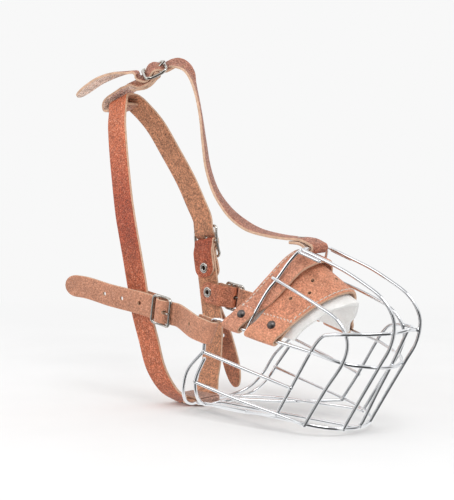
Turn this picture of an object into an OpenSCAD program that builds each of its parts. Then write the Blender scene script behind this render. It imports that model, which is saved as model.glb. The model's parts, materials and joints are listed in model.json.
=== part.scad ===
// Basket muzzle: chrome wire basket, padded nose band and buckled leather harness.
// Millimetres. +X points to the nose end, +Y to the animal's left, +Z up.
// The origin is on the floor plane, on the symmetry plane, near the rear of the basket floor.

/* [Wire basket] */
// Diameter of every basket wire
wire_d = 3; // [2.6:0.1:3.4]
// Distance from the symmetry plane to the two nose wires
nose_wire_y = 17.5; // [17:0.5:18]
// Distance from the symmetry plane to the two cheek wires
cheek_wire_y = 38; // [37.5:0.5:38.5]
// Height of the top crossbar above the floor
crossbar_z = 143; // [142.5:0.1:143.5]

/* [Straps] */
// Width of every harness strap
strap_w = 20; // [18:0.5:20]
// Thickness of every harness strap
strap_t = 2.4; // [2.2:0.1:2.4]

/* [Nose pad] */
// Thickness of the nose pad leather
pad_t = 2.6; // [2.2:0.1:2.6]
// Thickness of the felt lining
felt_t = 3.6; // [3:0.1:3.6]

/* [Buckles] */
// Length of a buckle frame along its strap
frame_l = 24; // [22:0.5:24]
// Diameter of the rod of a buckle frame
frame_rail = 2.8; // [2.4:0.1:3]
// Diameter of the bar that carries the prong
bar_d = 2.4; // [2:0.1:2.4]
// Radial running clearance between a bar and its prong
bar_gap = 0.05; // [0.03:0.01:0.08]

/* [Hardware] */
// Head diameter of the dome rivets on the nose pad
dome_d = 8; // [7:0.5:9]
// Flange diameter of the tubular rivets on the tabs
eyelet_d = 10; // [9:0.5:10]
// Hole diameter through a tubular rivet
eyelet_hole_d = 4; // [3:0.5:4]

/* [Hidden] */
wire_r = wire_d / 2;
wire_sides = 8;
smooth_steps = 5;
tight_steps = 3;
prong_r = 1.1;
prong_ring_w = 3.2;
prong_ring_r = bar_d / 2 + bar_gap + 1;
neck_frame_l = frame_l + 8;
frame_arch = 2.4;
side_gap = 0.6;
touch_gap = 0.15;
clamp_gap = 0.6;
floor_z = wire_r;
pad_tab_rise = 15;
dome_rise_up = 11;
rear_dome = [63, -53.2, 81];
front_dome = [92, -49.4, 74.2];
eyelet_tube_r = eyelet_hole_d / 2 + 0.8;
keeper_t = 1.8;
round_fn = 48;

// ---------- curve helpers ----------

function mix(a, b, t) = a + (b - a) * t;
function unit(v) = v / norm(v);
function flip_y(path) = [for (p = path) [p[0], -p[1], p[2]]];
function reversed(path) = [for (i = [len(path) - 1:-1:0]) path[i]];
// A half path that ends on the symmetry plane, followed by its mirror image
function both_sides(path) =
    concat(path, [for (i = [len(path) - 2:-1:0]) [path[i][0], -path[i][1], path[i][2]]]);

function spline_point(a, b, c, d, t) =
    0.5 * (2 * b + (c - a) * t + (2 * a - 5 * b + 4 * c - d) * t * t
    + (3 * b - a - 3 * c + d) * t * t * t);
// A smooth curve through every point of the path
function smooth(path, steps) = let (last = len(path) - 1) concat(
    [for (i = [0:last - 1]) for (j = [0:steps - 1]) spline_point(
        path[max(i - 1, 0)], path[i], path[i + 1], path[min(i + 2, last)], j / steps)],
    [path[last]]);

function tangent(path, i) =
    unit(path[min(i + 1, len(path) - 1)] - path[max(i - 1, 0)]);
// The part of v that is square to t, at unit length
function squared(v, t) = unit(v - t * (v * t));
// Normals carried along the path without twist
function carried(path, first) =
    [for (i = 0, n = squared(first, tangent(path, 0)); i < len(path);
        i = i + 1, n = i < len(path) ? squared(n, tangent(path, i)) : n) n];

// Skin over rings of points: each ring has the same number of points
module skin(rings) {
    count = len(rings);
    size = len(rings[0]);
    points = [for (ring = rings) for (p = ring) p];
    sides = [for (i = [0:count - 2]) for (j = [0:size - 1]) let (
        k = (j + 1) % size, a = i * size + j, b = i * size + k) each [
            [a, b, b + size], [a, b + size, a + size]]];
    first_cap = [for (j = [size - 2:-1:1]) [0, j + 1, j]];
    last_cap = [for (j = [1:size - 2]) [(count - 1) * size, (count - 1) * size + j,
        (count - 1) * size + j + 1]];
    polyhedron(points, concat(sides, first_cap, last_cap), convexity = 8);
}

// A round wire along a path
module wire(path, first = [0, 0, 1]) {
    normals = carried(path, first);
    skin([for (i = [0:len(path) - 1]) let (
        t = tangent(path, i), n = normals[i], b = cross(t, n)) [
            for (s = [0:wire_sides - 1]) path[i]
            - wire_r * (cos(360 * s / wire_sides) * n - sin(360 * s / wire_sides) * b)]]);
}

// A flat strap along a path; across lists the direction of its width at each point
module ribbon(path, across, width, thick) {
    skin([for (i = [0:len(path) - 1]) let (
        t = tangent(path, i), w = squared(across[i], t), n = cross(t, w)) [
            path[i] - w * width / 2 - n * thick / 2,
            path[i] - w * width / 2 + n * thick / 2,
            path[i] + w * width / 2 + n * thick / 2,
            path[i] + w * width / 2 - n * thick / 2]]);
}

// A sheet of even thickness between a rear curve and a front curve of equal point counts
module sheet(rear, front, thick) {
    skin([for (i = [0:len(rear) - 1]) let (
        t = unit(tangent(rear, i) + tangent(front, i)), w = unit(front[i] - rear[i]),
        n = unit(cross(t, w))) [
            rear[i] - n * thick / 2, rear[i] + n * thick / 2,
            front[i] + n * thick / 2, front[i] - n * thick / 2]]);
}

// ---------- basket geometry, right side (the left side is its mirror) ----------

nose_path = [
    [106, -nose_wire_y - 0.5, crossbar_z - 0.5], [124, -nose_wire_y, 136.5],
    [148, -nose_wire_y, 128], [168, -nose_wire_y, 118.5], [182, -nose_wire_y, 110.5],
    [191, -nose_wire_y, 101], [195.5, -nose_wire_y, 89], [192.5, -nose_wire_y, 73],
    [182, -nose_wire_y, 56], [164, -nose_wire_y, 28], [148, -nose_wire_y, floor_z + 1]];
cheek_path = [
    [86, -31, 119.5], [92, -32, 117.5], [118, -36, 109], [140, -cheek_wire_y, 100.5],
    [154, -cheek_wire_y, 94], [163, -cheek_wire_y, 85], [167, -cheek_wire_y, 73],
    [162, -cheek_wire_y, 58], [146, -cheek_wire_y - 0.5, 36], [126, -cheek_wire_y - 1, 6]];
center_path = [
    [196.5, 0, 84.5], [181, 0, 55], [169, 0, 34], [157, 0, 12], [152, 0, 4],
    [145, 0, floor_z], [100, 0, floor_z], [50, 0, floor_z], [-2, 0, floor_z]];
mid_half = [
    [101, -43, 12], [116.5, -44, 35], [136, -44, 65.5], [146, -44, 77.5], [154, -43, 80.5],
    [166, -39.5, 81.5], [180, -31, 82], [192, -17.5, 82.5], [196, -7, 83.5], [196.5, 0, 84]];
upper_half = [
    [33, -57, 56.5], [35, -57, 70], [40, -56, 80], [48, -55, 84.5], [76, -51.5, 77.5],
    [104, -48, 71.5], [136, -44, 65.5], [161, -36, 58.5], [174, -25, 56], [181, -12, 54.5],
    [183, 0, 54]];
rail_path = [[33, -57, 56.5], [75, -52, 46], [117, -45, 35]];
lower_half = [
    [17, -52, 29], [60, -49, 20], [101, -44, 12.3], [126, -39, 7], [143, -27, 4],
    [150, -12, 2.5], [151.5, 0, 2]];
bridge_half = [
    [74, -50, 77], [78.4, -45.5, 89.6], [84.6, -36.7, 108], [90, -31, 118], [97, -24, 132],
    [103, -18.5, 141], [106, -13, crossbar_z], [106.5, -9, crossbar_z], [106.5, 0, crossbar_z]];
outer_half = [
    [33, -57, 57], [14, -56, 40], [4, -52, 22.5], [-4, -42, 9.5], [-12, -27, 3],
    [-17, -14, floor_z], [-17, -12, floor_z], [-17, 0, floor_z]];
inner_half = [
    [33, -56, 51], [20, -53, 32.5], [14, -47, 19], [8, -36, 8.5], [1, -19, 2.5],
    [-2, -8, floor_z], [-2, 0, floor_z]];
floor_path = [[-8, -22, 3], [33, -30, 6.5], [84, -34, 7], [113, -37, 7], [126, -39, 6]];
throat_path = [[4, -18, 2.5], [50, -30, 5], [101, -43, 11]];
stub_path = [[106, -21, crossbar_z - 2.5], [126, -20.5, 134]];

module chrome() {
    color([0.8, 0.8, 0.82]) children();
}

module brown() {
    color([0.62, 0.33, 0.22]) children();
}

module mirrored() {
    mirror([0, 1, 0]) children();
}

module nose_wire_right() {
    chrome() wire(smooth(nose_path, tight_steps), [0, 1, 0]);
}

module nose_wire_left() {
    chrome() mirrored() wire(smooth(nose_path, tight_steps), [0, 1, 0]);
}

module cheek_wire_right() {
    chrome() wire(smooth(cheek_path, tight_steps), [0, 1, 0]);
}

module cheek_wire_left() {
    chrome() mirrored() wire(smooth(cheek_path, tight_steps), [0, 1, 0]);
}

module center_wire() {
    chrome() wire(smooth(center_path, tight_steps), [0, 1, 0]);
}

module mid_ring_wire() {
    chrome() wire(smooth(both_sides(mid_half), tight_steps));
}

module upper_ring_wire() {
    chrome() wire(smooth(both_sides(upper_half), tight_steps), [0, 1, 0]);
}

module side_rail_right() {
    chrome() wire(smooth(rail_path, tight_steps));
}

module side_rail_left() {
    chrome() mirrored() wire(smooth(rail_path, tight_steps));
}

module lower_ring_wire() {
    chrome() wire(smooth(both_sides(lower_half), tight_steps));
}

module nose_bridge_hoop() {
    chrome() wire(smooth(both_sides(bridge_half), tight_steps), [1, 0, 0]);
}

module rear_hoop_outer() {
    chrome() wire(smooth(both_sides(outer_half), tight_steps), [0, 1, 0]);
}

module rear_hoop_inner() {
    chrome() wire(smooth(both_sides(inner_half), tight_steps), [0, 1, 0]);
}

module floor_wire_right() {
    chrome() wire(smooth(floor_path, tight_steps));
}

module floor_wire_left() {
    chrome() mirrored() wire(smooth(floor_path, tight_steps));
}

module throat_wire_right() {
    chrome() wire(smooth(throat_path, tight_steps));
}

module throat_wire_left() {
    chrome() mirrored() wire(smooth(throat_path, tight_steps));
}

module bridge_stub_right() {
    chrome() wire(stub_path);
}

module bridge_stub_left() {
    chrome() mirrored() wire(stub_path);
}

// ---------- nose pad ----------

tab_up = unit([0.5, 0.47, 0.73]);
tab_out = unit([0.26, -0.82, 0.45]);
tab_gap = wire_r + pad_t / 2 + 0.8;
leaf_gap = pad_t / 2 + 0.15;
// Leather folded round the upper ring: up the inside, round the wire, up the outside
function tab_fold(c) = [
    c - tab_out * leaf_gap + tab_up * pad_tab_rise,
    c - tab_out * (leaf_gap + 0.5) + tab_up * 8,
    c - tab_out * tab_gap + tab_up * 1.5,
    c - tab_out * tab_gap * 0.75 - tab_up * tab_gap * 0.7,
    c - tab_up * (tab_gap + 0.1),
    c + tab_out * tab_gap * 0.75 - tab_up * tab_gap * 0.7,
    c + tab_out * tab_gap + tab_up * 1.5,
    c + tab_out * (leaf_gap + 0.5) + tab_up * 8,
    c + tab_out * leaf_gap + tab_up * pad_tab_rise];

band_rear = both_sides(concat(tab_fold([55, -54.2, 83]), [
    [65.5, -43.4, 99.3], [69, -37.5, 105.5], [76, -28, 118], [83.5, -16, 132.4],
    [88, -7, 139.4], [89, 0, 140.6]]));
band_front = both_sides(concat(tab_fold([66.5, -52.7, 80]), [
    [79, -40.6, 93], [86.8, -36, 97.8], [98, -29.5, 111.5], [107, -20.5, 125],
    [114, -9.5, 131.6], [116, 0, 133]]));
panel_rear = both_sides(concat(tab_fold([81.5, -50.8, 76.5]), [
    [89, -32.5, 97], [91.5, -25, 110.3], [99, -16.4, 123.6], [103, -7.6, 130.4], [105, 0, 132]]));
panel_front = both_sides(concat(tab_fold([105, -47.8, 71.3]), [
    [120, -33, 92], [128, -25, 100], [136, -13, 106.5], [139, -6, 108.5], [140, 0, 109]]));
felt_rear = both_sides([
    [57.6, -43.9, 81.3], [61, -38.8, 89.2], [67, -31.6, 100.3], [74, -22.5, 113],
    [81, -12, 125.8], [85.4, -5.6, 132.9], [86.4, 0, 133.8]]);
felt_front = both_sides([
    [112.8, -36.8, 71.4], [117.6, -32.2, 78.6], [125.4, -27.6, 85.4], [133.2, -19.8, 92.6],
    [141, -10.8, 98.2], [144.8, -5.2, 100.2], [145.8, 0, 100.6]]);

module nose_pad_band() {
    brown() sheet(band_rear, band_front, pad_t);
}

module nose_pad_leather() {
    brown() sheet(panel_rear, panel_front, pad_t);
}

module nose_pad_felt() {
    color([0.93, 0.92, 0.88]) sheet(felt_rear, felt_front, felt_t);
}

// Move to a point and turn +Z to a direction
module facing(c, dir) {
    translate(c) rotate([0, acos(dir[2] / norm(dir)), atan2(dir[1], dir[0])]) children();
}

// A dome rivet: head outside, shank through both leaves, flat cap inside
module dome_rivet(wire_point) {
    dome_rise = 2.8;
    head_r = (dome_d * dome_d / 4 + dome_rise * dome_rise) / (2 * dome_rise);
    stack = leaf_gap + pad_t / 2;
    cap_t = 0.8;
    cap_margin = 0.6;
    shank_r = 1.6;
    facing(wire_point + tab_up * dome_rise_up, tab_out) rotate_extrude($fn = round_fn) difference() {
        union() {
            translate([0, stack]) intersection() {
                translate([0, dome_rise - head_r]) circle(head_r);
                square([dome_d, dome_rise]);
            }
            translate([0, -stack - cap_t]) square([dome_d / 2 - cap_margin, cap_t]);
            translate([0, -stack]) square([shank_r, 2 * stack]);
        }
        translate([-dome_d, -dome_d]) square([dome_d, 3 * dome_d]);
    }
}

module pad_rivets() {
    color([0.3, 0.29, 0.3]) {
        dome_rivet(rear_dome);
        dome_rivet(front_dome);
        mirrored() dome_rivet(rear_dome);
        mirrored() dome_rivet(front_dome);
    }
}

// ---------- buckle places: [origin, turns]; local x runs from the tab to the incoming strap,
// local z runs along the bar, local -y is the outer side ----------

function turned(v, a) = let (
    p = [v[0], v[1] * cos(a[0]) - v[2] * sin(a[0]), v[1] * sin(a[0]) + v[2] * cos(a[0])],
    q = [p[0] * cos(a[1]) + p[2] * sin(a[1]), p[1], p[2] * cos(a[1]) - p[0] * sin(a[1])])
    [q[0] * cos(a[2]) - q[1] * sin(a[2]), q[0] * sin(a[2]) + q[1] * cos(a[2]), q[2]];
function at(place, p) = place[0] + turned(p, place[1]);
function all_at(place, path) = [for (p = path) at(place, p)];
module put(place) {
    translate(place[0]) rotate(place[1]) children();
}

right_cheek = [[-21.3, -51.5, 86], [0, 9, 0]];
left_cheek = [[-35.3, -52, 89], [0, 9, 0]];
neck_place = [[-67, -49, 139], [0, -100, 0]];
crown_place = [[-84, 0, 298], [-63, -25, 44]];

fold_r = bar_d / 2 + touch_gap + strap_t / 2;
fold_outer = fold_r + strap_t / 2;
over_y = -(fold_r + strap_t + touch_gap);
leaf_y = 0.4 + strap_t + touch_gap;
leaf_split = strap_t + 0.5;
clamp_split = 2 * (strap_t + clamp_gap);
// The strap weaves under the end rails of a buckle and over its bar
function weave(length) = [[length / 2 + 8, 0.6, 0], [length / 2, 0.4, 0], [9, 0.2, 0],
    [6.6, -1.4, 0], [4.4, -3.6, 0], [2, over_y + 0.1, 0], [0, over_y, 0],
    [-2, over_y + 0.1, 0], [-4.4, -3.6, 0], [-6.6, -1.4, 0], [-9, 0.2, 0],
    [-length / 2, 0.4, 0]];
// A tab goes round the bar from its inner leaf to its outer leaf
around_bar = concat([for (a = [90:-30:-150]) [fold_r * cos(a), fold_r * sin(a), 0]],
    [[-3.4, 0.5, 0], [-5.8, 2.4, 0], [-8.4, leaf_y, 0]]);
// Both leaves lie together behind the bar
function tab_wrap(back) = concat(
    [[-back, leaf_y + leaf_split, 0], [-12, leaf_y + leaf_split, 0], [-7, 5, 0],
    [-3, 3.2, 0]],
    around_bar, [[-12, leaf_y, 0], [-back, leaf_y, 0]]);
// The leaves stand apart, with another strap clamped between them
function clamp_wrap(back) = concat(
    [[-back, leaf_y + clamp_split, 0], [-12, leaf_y + clamp_split, 0],
    [-8.2, leaf_y + clamp_split - 0.3, 0], [-4.4, 5.7, 0], [-2, 3.5, 0]],
    around_bar, [[-12, leaf_y, 0], [-back, leaf_y, 0]]);

// ---------- harness ----------

neck_w = strap_w + 4;
// Where the middle of the strap passes under the chin
chin_x = -33;
chin_z = wire_r;
// The neck strap's width runs fore and aft, and tilts up where the strap climbs
function neck_across(p) = [1, 0, 0.3 * min(1, max(0, p[2]) / 60)];
neck_tab_back = 33;
// Built with its buckle on the right and mirrored, because the buckle sits on the left
neck_start = all_at(neck_place, tab_wrap(neck_tab_back));
neck_round = [
    [-58.3, -46.05, 88], [-56.6, -46.05, 77], [-51.5, -43.3, 58], [-47, -36.5, 32],
    [-42, -26, 12], [-34.5, -15, 2], [chin_x, -12, chin_z], [chin_x, 0, chin_z],
    [chin_x, 12, chin_z], [-34.5, 15, 2],
    [-42, 26, 12], [-46.5, 36.5, 32], [-49.5, 42.5, 58], [-54.5, 45.5, 80],
    [-57.6, 45.55, 92], [-60.5, 45.8, 106], [-64, 47.4, 128],
    [-71.3, 47, 155], [-80.5, 42.8, 175], [-90, 37.6, 199], [-100, 31.7, 225],
    [-110, 24.5, 250], [-120, 14, 267], [-126, 7.5, 273.8], [-128.5, 0, 275.8],
    [-126, -7.5, 273.8], [-120, -14, 267], [-110, -24.5, 250], [-98.5, -33.5, 225],
    [-87, -42, 199], [-77, -46.3, 176]];
neck_end = all_at(neck_place,
    concat(weave(neck_frame_l),
        [[-19, -0.4, 0], [-24, -0.8, 0], [-29, -1.1, 0], [-35, -1.5, 0]]));
neck_rivet_x = -24;
right_tab_back = 46;
left_tab_back = 31;
tab_end_margin = 8;

module neck_strap() {
    level = -turned([0, 0, 1], neck_place[1]);
    key = concat(neck_start, neck_round, neck_end);
    across = concat([for (p = neck_start) level], [for (p = neck_round) neck_across(p)],
        [for (p = neck_end) level]);
    brown() mirrored() difference() {
        ribbon(smooth(key, 2), smooth(across, 2), neck_w, strap_t);
        put(neck_place) prong_slot();
        put(neck_place) prong_hole();
        put(neck_place) eyelet_bore(neck_rivet_x, leaf_inner + 3);
        put(left_cheek) eyelet_bore(tab_end_margin - left_tab_back, clamp_inner + 3);
        mirrored() put(right_cheek)
            eyelet_bore(tab_end_margin - right_tab_back, clamp_inner + 3);
    }
}

// Slot in a tab fold for the prong ring
module prong_slot() {
    slot_play = 1.6;
    slot_back = 2.6;
    slot_w = prong_ring_w + slot_play;
    reach = fold_outer + 0.08;
    translate([-slot_back, -reach, -slot_w / 2])
        cube([slot_back + 2 * fold_outer, 2 * reach, slot_w]);
}

// Oval hole that the prong passes through
module prong_hole() {
    hole_from = 4.9;
    hole_to = 6.1;
    hole_r = 1.9;
    cut_depth = 12;
    rotate([90, 0, 0]) linear_extrude(cut_depth, center = true)
        stadium(hole_from, hole_to, hole_r);
}

// Bore through the leaves of a tab, from in front of its outer leaf
module eyelet_bore(x, depth) {
    translate([x, leaf_outer - 0.5, 0]) rotate([-90, 0, 0])
        cylinder(r = eyelet_tube_r, h = depth - leaf_outer, $fn = 24);
}

// A tubular rivet along local y, from one face of a stack to the other
module eyelet(x, y_from, y_to) {
    flange_t = 0.6;
    flange_w = (eyelet_d - eyelet_hole_d) / 2;
    translate([x, 0, 0]) rotate([-90, 0, 0]) rotate_extrude($fn = round_fn) {
        translate([eyelet_hole_d / 2, y_from - flange_t])
            square([eyelet_tube_r - eyelet_hole_d / 2, y_to - y_from + 2 * flange_t]);
        translate([eyelet_hole_d / 2, y_from - flange_t]) square([flange_w, flange_t]);
        translate([eyelet_hole_d / 2, y_to]) square([flange_w, flange_t]);
    }
}

module steel() {
    color([0.6, 0.6, 0.6]) children();
}

leaf_outer = leaf_y - strap_t / 2;
leaf_inner = leaf_y + leaf_split + strap_t / 2;
clamp_inner = leaf_y + clamp_split + strap_t / 2;

module neck_rivet() {
    steel() mirrored() put(neck_place)
        eyelet(neck_rivet_x, leaf_outer - touch_gap, leaf_inner + touch_gap);
}

// A rectangular frame of round rod with arched sides and a bar across the middle
module buckle_frame(width, length) {
    rail_r = frame_rail / 2;
    half_l = length / 2 - rail_r;
    half_w = width / 2 + side_gap + rail_r;
    corner = 3;
    quarter = [
        for (a = [0:30:90]) [half_l - corner + corner * sin(90 - a), 0,
            half_w - corner + corner * sin(a)]];
    side = [for (p = quarter) [p[0], -frame_arch * p[0] / half_l, p[2]]];
    loop = concat(side, [[0, 0, half_w]], [for (p = reversed(side)) [-p[0], p[1], p[2]]],
        [for (p = side) [-p[0], p[1], -p[2]]], [[0, 0, -half_w]],
        [for (p = reversed(side)) [p[0], p[1], -p[2]]]);
    ring(loop, rail_r);
    cylinder(d = bar_d, h = 2 * half_w, center = true, $fn = round_fn);
}

// A closed rod through a loop of points
module ring(loop, r) {
    count = len(loop);
    rings = [for (i = [0:count - 1]) let (
        t = unit(loop[(i + 1) % count] - loop[(i + count - 1) % count]),
        n = squared([0, 1, 0], t), b = cross(t, n)) [
            for (s = [0:wire_sides - 1]) loop[i]
            + r * (cos(360 * s / wire_sides) * n + sin(360 * s / wire_sides) * b)]];
    points = [for (r = rings) for (p = r) p];
    faces = [for (i = [0:count - 1]) for (j = [0:wire_sides - 1]) let (
        k = (j + 1) % wire_sides, i2 = (i + 1) % count) each [
            [i * wire_sides + j, i2 * wire_sides + k, i * wire_sides + k],
            [i * wire_sides + j, i2 * wire_sides + j, i2 * wire_sides + k]]];
    polyhedron(points, faces, convexity = 8);
}

// The prong: a ring round the bar and a shank that rests on the front rail
module buckle_prong(length) {
    rest_x = length / 2 - frame_rail / 2;
    rest_gap = 0.3;
    tip_past = 1.5;
    rest_y = -frame_arch - frame_rail / 2 - prong_r - rest_gap;
    shank_l = norm([rest_x, rest_y]) + tip_past;
    shank_turn = atan2(rest_y, rest_x);
    difference() {
        union() {
            cylinder(r = prong_ring_r, h = prong_ring_w, center = true, $fn = round_fn);
            rotate([0, 90, shank_turn]) cylinder(r = prong_r, h = shank_l, $fn = round_fn);
        }
        cylinder(d = bar_d + 2 * bar_gap, h = 2 * prong_ring_w, center = true, $fn = round_fn);
    }
}

module neck_buckle_frame() {
    steel() mirrored() put(neck_place) buckle_frame(neck_w, neck_frame_l);
}

module neck_buckle_prong() {
    steel() mirrored() put(neck_place) buckle_prong(neck_frame_l);
}

module crown_buckle_frame() {
    steel() put(crown_place) buckle_frame(strap_w, frame_l);
}

module crown_buckle_prong() {
    steel() put(crown_place) buckle_prong(frame_l);
}

module cheek_buckle_right_frame() {
    steel() put(right_cheek) buckle_frame(strap_w, frame_l);
}

module cheek_buckle_right_prong() {
    steel() put(right_cheek) buckle_prong(frame_l);
}

module cheek_buckle_left_frame() {
    steel() mirrored() put(left_cheek) buckle_frame(strap_w, frame_l);
}

module cheek_buckle_left_prong() {
    steel() mirrored() put(left_cheek) buckle_prong(frame_l);
}

// A short folded tab that holds a buckle bar and clamps the neck strap between its leaves
module cheek_tab(place, back) {
    path = smooth(clamp_wrap(back), 1);
    put(place) difference() {
        ribbon(path, [for (p = path) [0, 0, 1]], strap_w, strap_t);
        prong_slot();
        eyelet_bore(tab_end_margin - back, clamp_inner + 3);
    }
}

module cheek_tab_right() {
    brown() cheek_tab(right_cheek, right_tab_back);
}

module cheek_tab_left() {
    brown() mirrored() cheek_tab(left_cheek, left_tab_back);
}

// The rivet through a cheek tab and the neck strap between its leaves
module tab_rivet(place, back) {
    put(place) eyelet(tab_end_margin - back, leaf_outer - touch_gap, clamp_inner + touch_gap);
}

module cheek_rivet_right() {
    steel() tab_rivet(right_cheek, right_tab_back);
}

module cheek_rivet_left() {
    steel() mirrored() tab_rivet(left_cheek, left_tab_back);
}

// The strap hooks round the ear of the upper ring, then runs back to its buckle
ear_hook = [[22, -52.4, 77.5], [32, -52.6, 75.5], [38, -52.9, 74.3], [41.4, -53.9, 73.6],
    [43.4, -57, 73.2], [41.2, -60, 73.5], [36, -61, 74.6], [24, -60.4, 77.4]];
ear_across = [for (p = ear_hook) [0.45, 0, 0.89]];
right_tail = [[-38, -52.4, 89.2], [-56, -54.5, 92], [-84, -57, 95.5], [-114, -59, 100.4],
    [-142, -59.8, 101.3]];
left_tail = [[-52, -52.8, 91.3], [-61, -54.5, 88], [-65, -57.5, 79], [-61.5, -58.5, 67],
    [-54.5, -57.5, 56], [-48, -56.5, 45], [-41, -56, 28], [-34, -55, 10], [-31.5, -54.5, 4]];
hanging = [-0.94, 0, -0.34];
left_twist = [[0.1, 0, 0.99], [-0.3, 0, 0.95], [-0.8, 0, 0.6], [-1, 0, 0.1], [-0.98, 0, -0.2],
    [-0.95, 0, -0.3], hanging, hanging, hanging];

// One cheek strap, with its own buckle place, tail and twist of the tail
module cheek_strap(place, tail, twist) {
    level = turned([0, 0, 1], place[1]);
    level_part = weave(frame_l);
    key = concat(ear_hook, all_at(place, level_part), tail);
    across = concat(ear_across, [for (p = level_part) level], twist);
    brown() difference() {
        ribbon(smooth(key, 3), smooth(across, 3), strap_w, strap_t);
        put(place) prong_hole();
    }
}

module cheek_strap_right() {
    cheek_strap(right_cheek, right_tail, [for (p = right_tail) [0.13, 0, 0.99]]);
}

module cheek_strap_left() {
    mirrored() cheek_strap(left_cheek, left_tail, left_twist);
}

// The forehead strap loops round the crossbar and climbs to the crown buckle
loop_r = wire_r + strap_t / 2 + 0.5;
bar_x = 106.5;
forehead_loop = concat(
    [[84, 0, crossbar_z + 4.2], [94, 0, crossbar_z + 3.8], [99.5, 0, crossbar_z + 1.8],
    [103.4, 0, crossbar_z - 1.9]],
    [for (a = [-90:45:90]) [bar_x + loop_r * cos(a), 0, crossbar_z + 0.4 + loop_r * sin(a)]],
    [[100, 0, crossbar_z + 6.1], [92, 0, crossbar_z + 7.1], [80, 0, crossbar_z + 7.4]]);
forehead_rise = [[60, 0, 152], [38, 0, 156], [20, 0, 164], [5, 0, 175], [-8, 0, 190],
    [-17, 0, 210], [-21.5, 0, 232], [-26.5, 1, 255], [-34, 3, 275], [-45, 7, 290.5],
    [-57.5, 11, 300.5]];
rise_across = [[0, 1, 0], [-0.05, 1, 0], [-0.2, 0.95, 0], [-0.4, 0.9, 0], [-0.5, 0.85, 0],
    [-0.55, 0.83, 0], [-0.6, 0.8, 0.05], [-0.65, 0.74, 0.1], [-0.66, 0.7, 0.2],
    [-0.65, 0.66, 0.3], [-0.63, 0.62, 0.4]];
crown_tail = [at(crown_place, [-15.5, -1.8, 2]), [-101, -12.5, 297.8], [-118, -17, 297],
    [-138, -23.5, 290.5], [-158, -31, 277.3]];
// The crown tail turns its flesh side down
crown_twist = [[-0.755, 0.53, 0.38], [-0.74, 0.6, 0.2], [-0.7, 0.68, -0.05],
    [-0.66, 0.7, -0.2], [-0.66, 0.7, -0.25]];

module forehead_strap() {
    level = turned([0, 0, 1], crown_place[1]);
    level_part = weave(frame_l);
    key = concat(forehead_loop, forehead_rise, all_at(crown_place, level_part), crown_tail);
    across = concat([for (p = forehead_loop) [0, 1, 0]], rise_across,
        [for (p = level_part) level], crown_twist);
    brown() difference() {
        ribbon(smooth(key, 3), smooth(across, 3), strap_w, strap_t);
        put(crown_place) prong_hole();
    }
}

module forehead_rivet() {
    rivet_x = 90;
    shank_r = 1.2;
    head_r = 3;
    head_t = 0.7;
    low = crossbar_z + 4 - strap_t / 2;
    high = crossbar_z + 7.2 + strap_t / 2;
    steel() translate([rivet_x, 0, low - head_t]) {
        cylinder(r = shank_r, h = high - low + 2 * head_t, $fn = round_fn);
        cylinder(r = head_r, h = head_t, $fn = round_fn);
        translate([0, 0, high - low + head_t]) cylinder(r = head_r, h = head_t, $fn = round_fn);
    }
}

// The crown tab: one band folded round the crown buckle bar and round the neck strap
crown_loop = [[-119, 0, 285.2], [-131, 0, 280.4], [-141, 0, 276.4], [-146, 0, 272.6],
    [-147, 0, 268], [-143.6, 0, 264.2], [-129, 0, 266], [-117, 0, 270.2]];
module crown_tab() {
    level = turned([0, 0, 1], crown_place[1]);
    half = 0.5 * level + [0, 0.5, 0];
    bar_part = all_at(crown_place, around_bar);
    key = concat([[-107, -2, 285.3]], all_at(crown_place, [[-9, 5.6, 0], [-4, 3.7, 0]]),
        bar_part, [at(crown_place, [-12.5, leaf_y + 0.5, 0]), [-108, -3, 290.4]], crown_loop);
    across = concat([half, level, level], [for (p = bar_part) level], [level, half],
        [for (p = crown_loop) [0, 1, 0]]);
    brown() difference() {
        ribbon(smooth(key, 2), smooth(across, 2), strap_w, strap_t);
        put(crown_place) prong_slot();
    }
}

// The chin keeper: a flat leather loop round the rear hoop and the neck strap
module chin_keeper() {
    keeper_w = neck_w;
    inner_h = wire_d + 0.4;
    inner_r = inner_h / 2;
    rear_x = chin_x - neck_w / 2 - 0.6;
    front_x = outer_half[len(outer_half) - 1][0];
    brown() translate([0, keeper_w / 2, chin_z]) rotate([90, 0, 0]) linear_extrude(keeper_w)
        difference() {
            stadium(rear_x, front_x, inner_r + keeper_t);
            stadium(rear_x, front_x, inner_r);
        }
}

module stadium(from_x, to_x, r) {
    translate([from_x, -r]) square([to_x - from_x, 2 * r]);
    translate([from_x, 0]) circle(r, $fn = round_fn);
    translate([to_x, 0]) circle(r, $fn = round_fn);
}

nose_wire_right();
nose_wire_left();
cheek_wire_right();
cheek_wire_left();
center_wire();
mid_ring_wire();
upper_ring_wire();
side_rail_right();
side_rail_left();
lower_ring_wire();
nose_bridge_hoop();
rear_hoop_outer();
rear_hoop_inner();
floor_wire_right();
floor_wire_left();
throat_wire_right();
throat_wire_left();
bridge_stub_right();
bridge_stub_left();
nose_pad_band();
nose_pad_leather();
nose_pad_felt();
pad_rivets();
neck_strap();
neck_rivet();
neck_buckle_frame();
neck_buckle_prong();
crown_tab();
crown_buckle_frame();
crown_buckle_prong();
forehead_strap();
forehead_rivet();
cheek_strap_right();
cheek_strap_left();
cheek_tab_right();
cheek_tab_left();
cheek_rivet_right();
cheek_rivet_left();
cheek_buckle_right_frame();
cheek_buckle_right_prong();
cheek_buckle_left_frame();
cheek_buckle_left_prong();
chin_keeper();
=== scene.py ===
"""Looks of a wire basket muzzle: chrome wire basket, leather harness, felt-lined nose pad.

Shapes are laid out in millimetres in the CAD part's frame, and make_piece turns them to metres.
Buckles, tabs and straps of the left side, and the neck strap, are built on the right and mirrored
by make_piece (flip=True). Places of buckles, wire and small parts come from the loaded frame.
"""
import json
import math

import bmesh
import bpy
from mathutils import Matrix, Vector, noise

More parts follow.
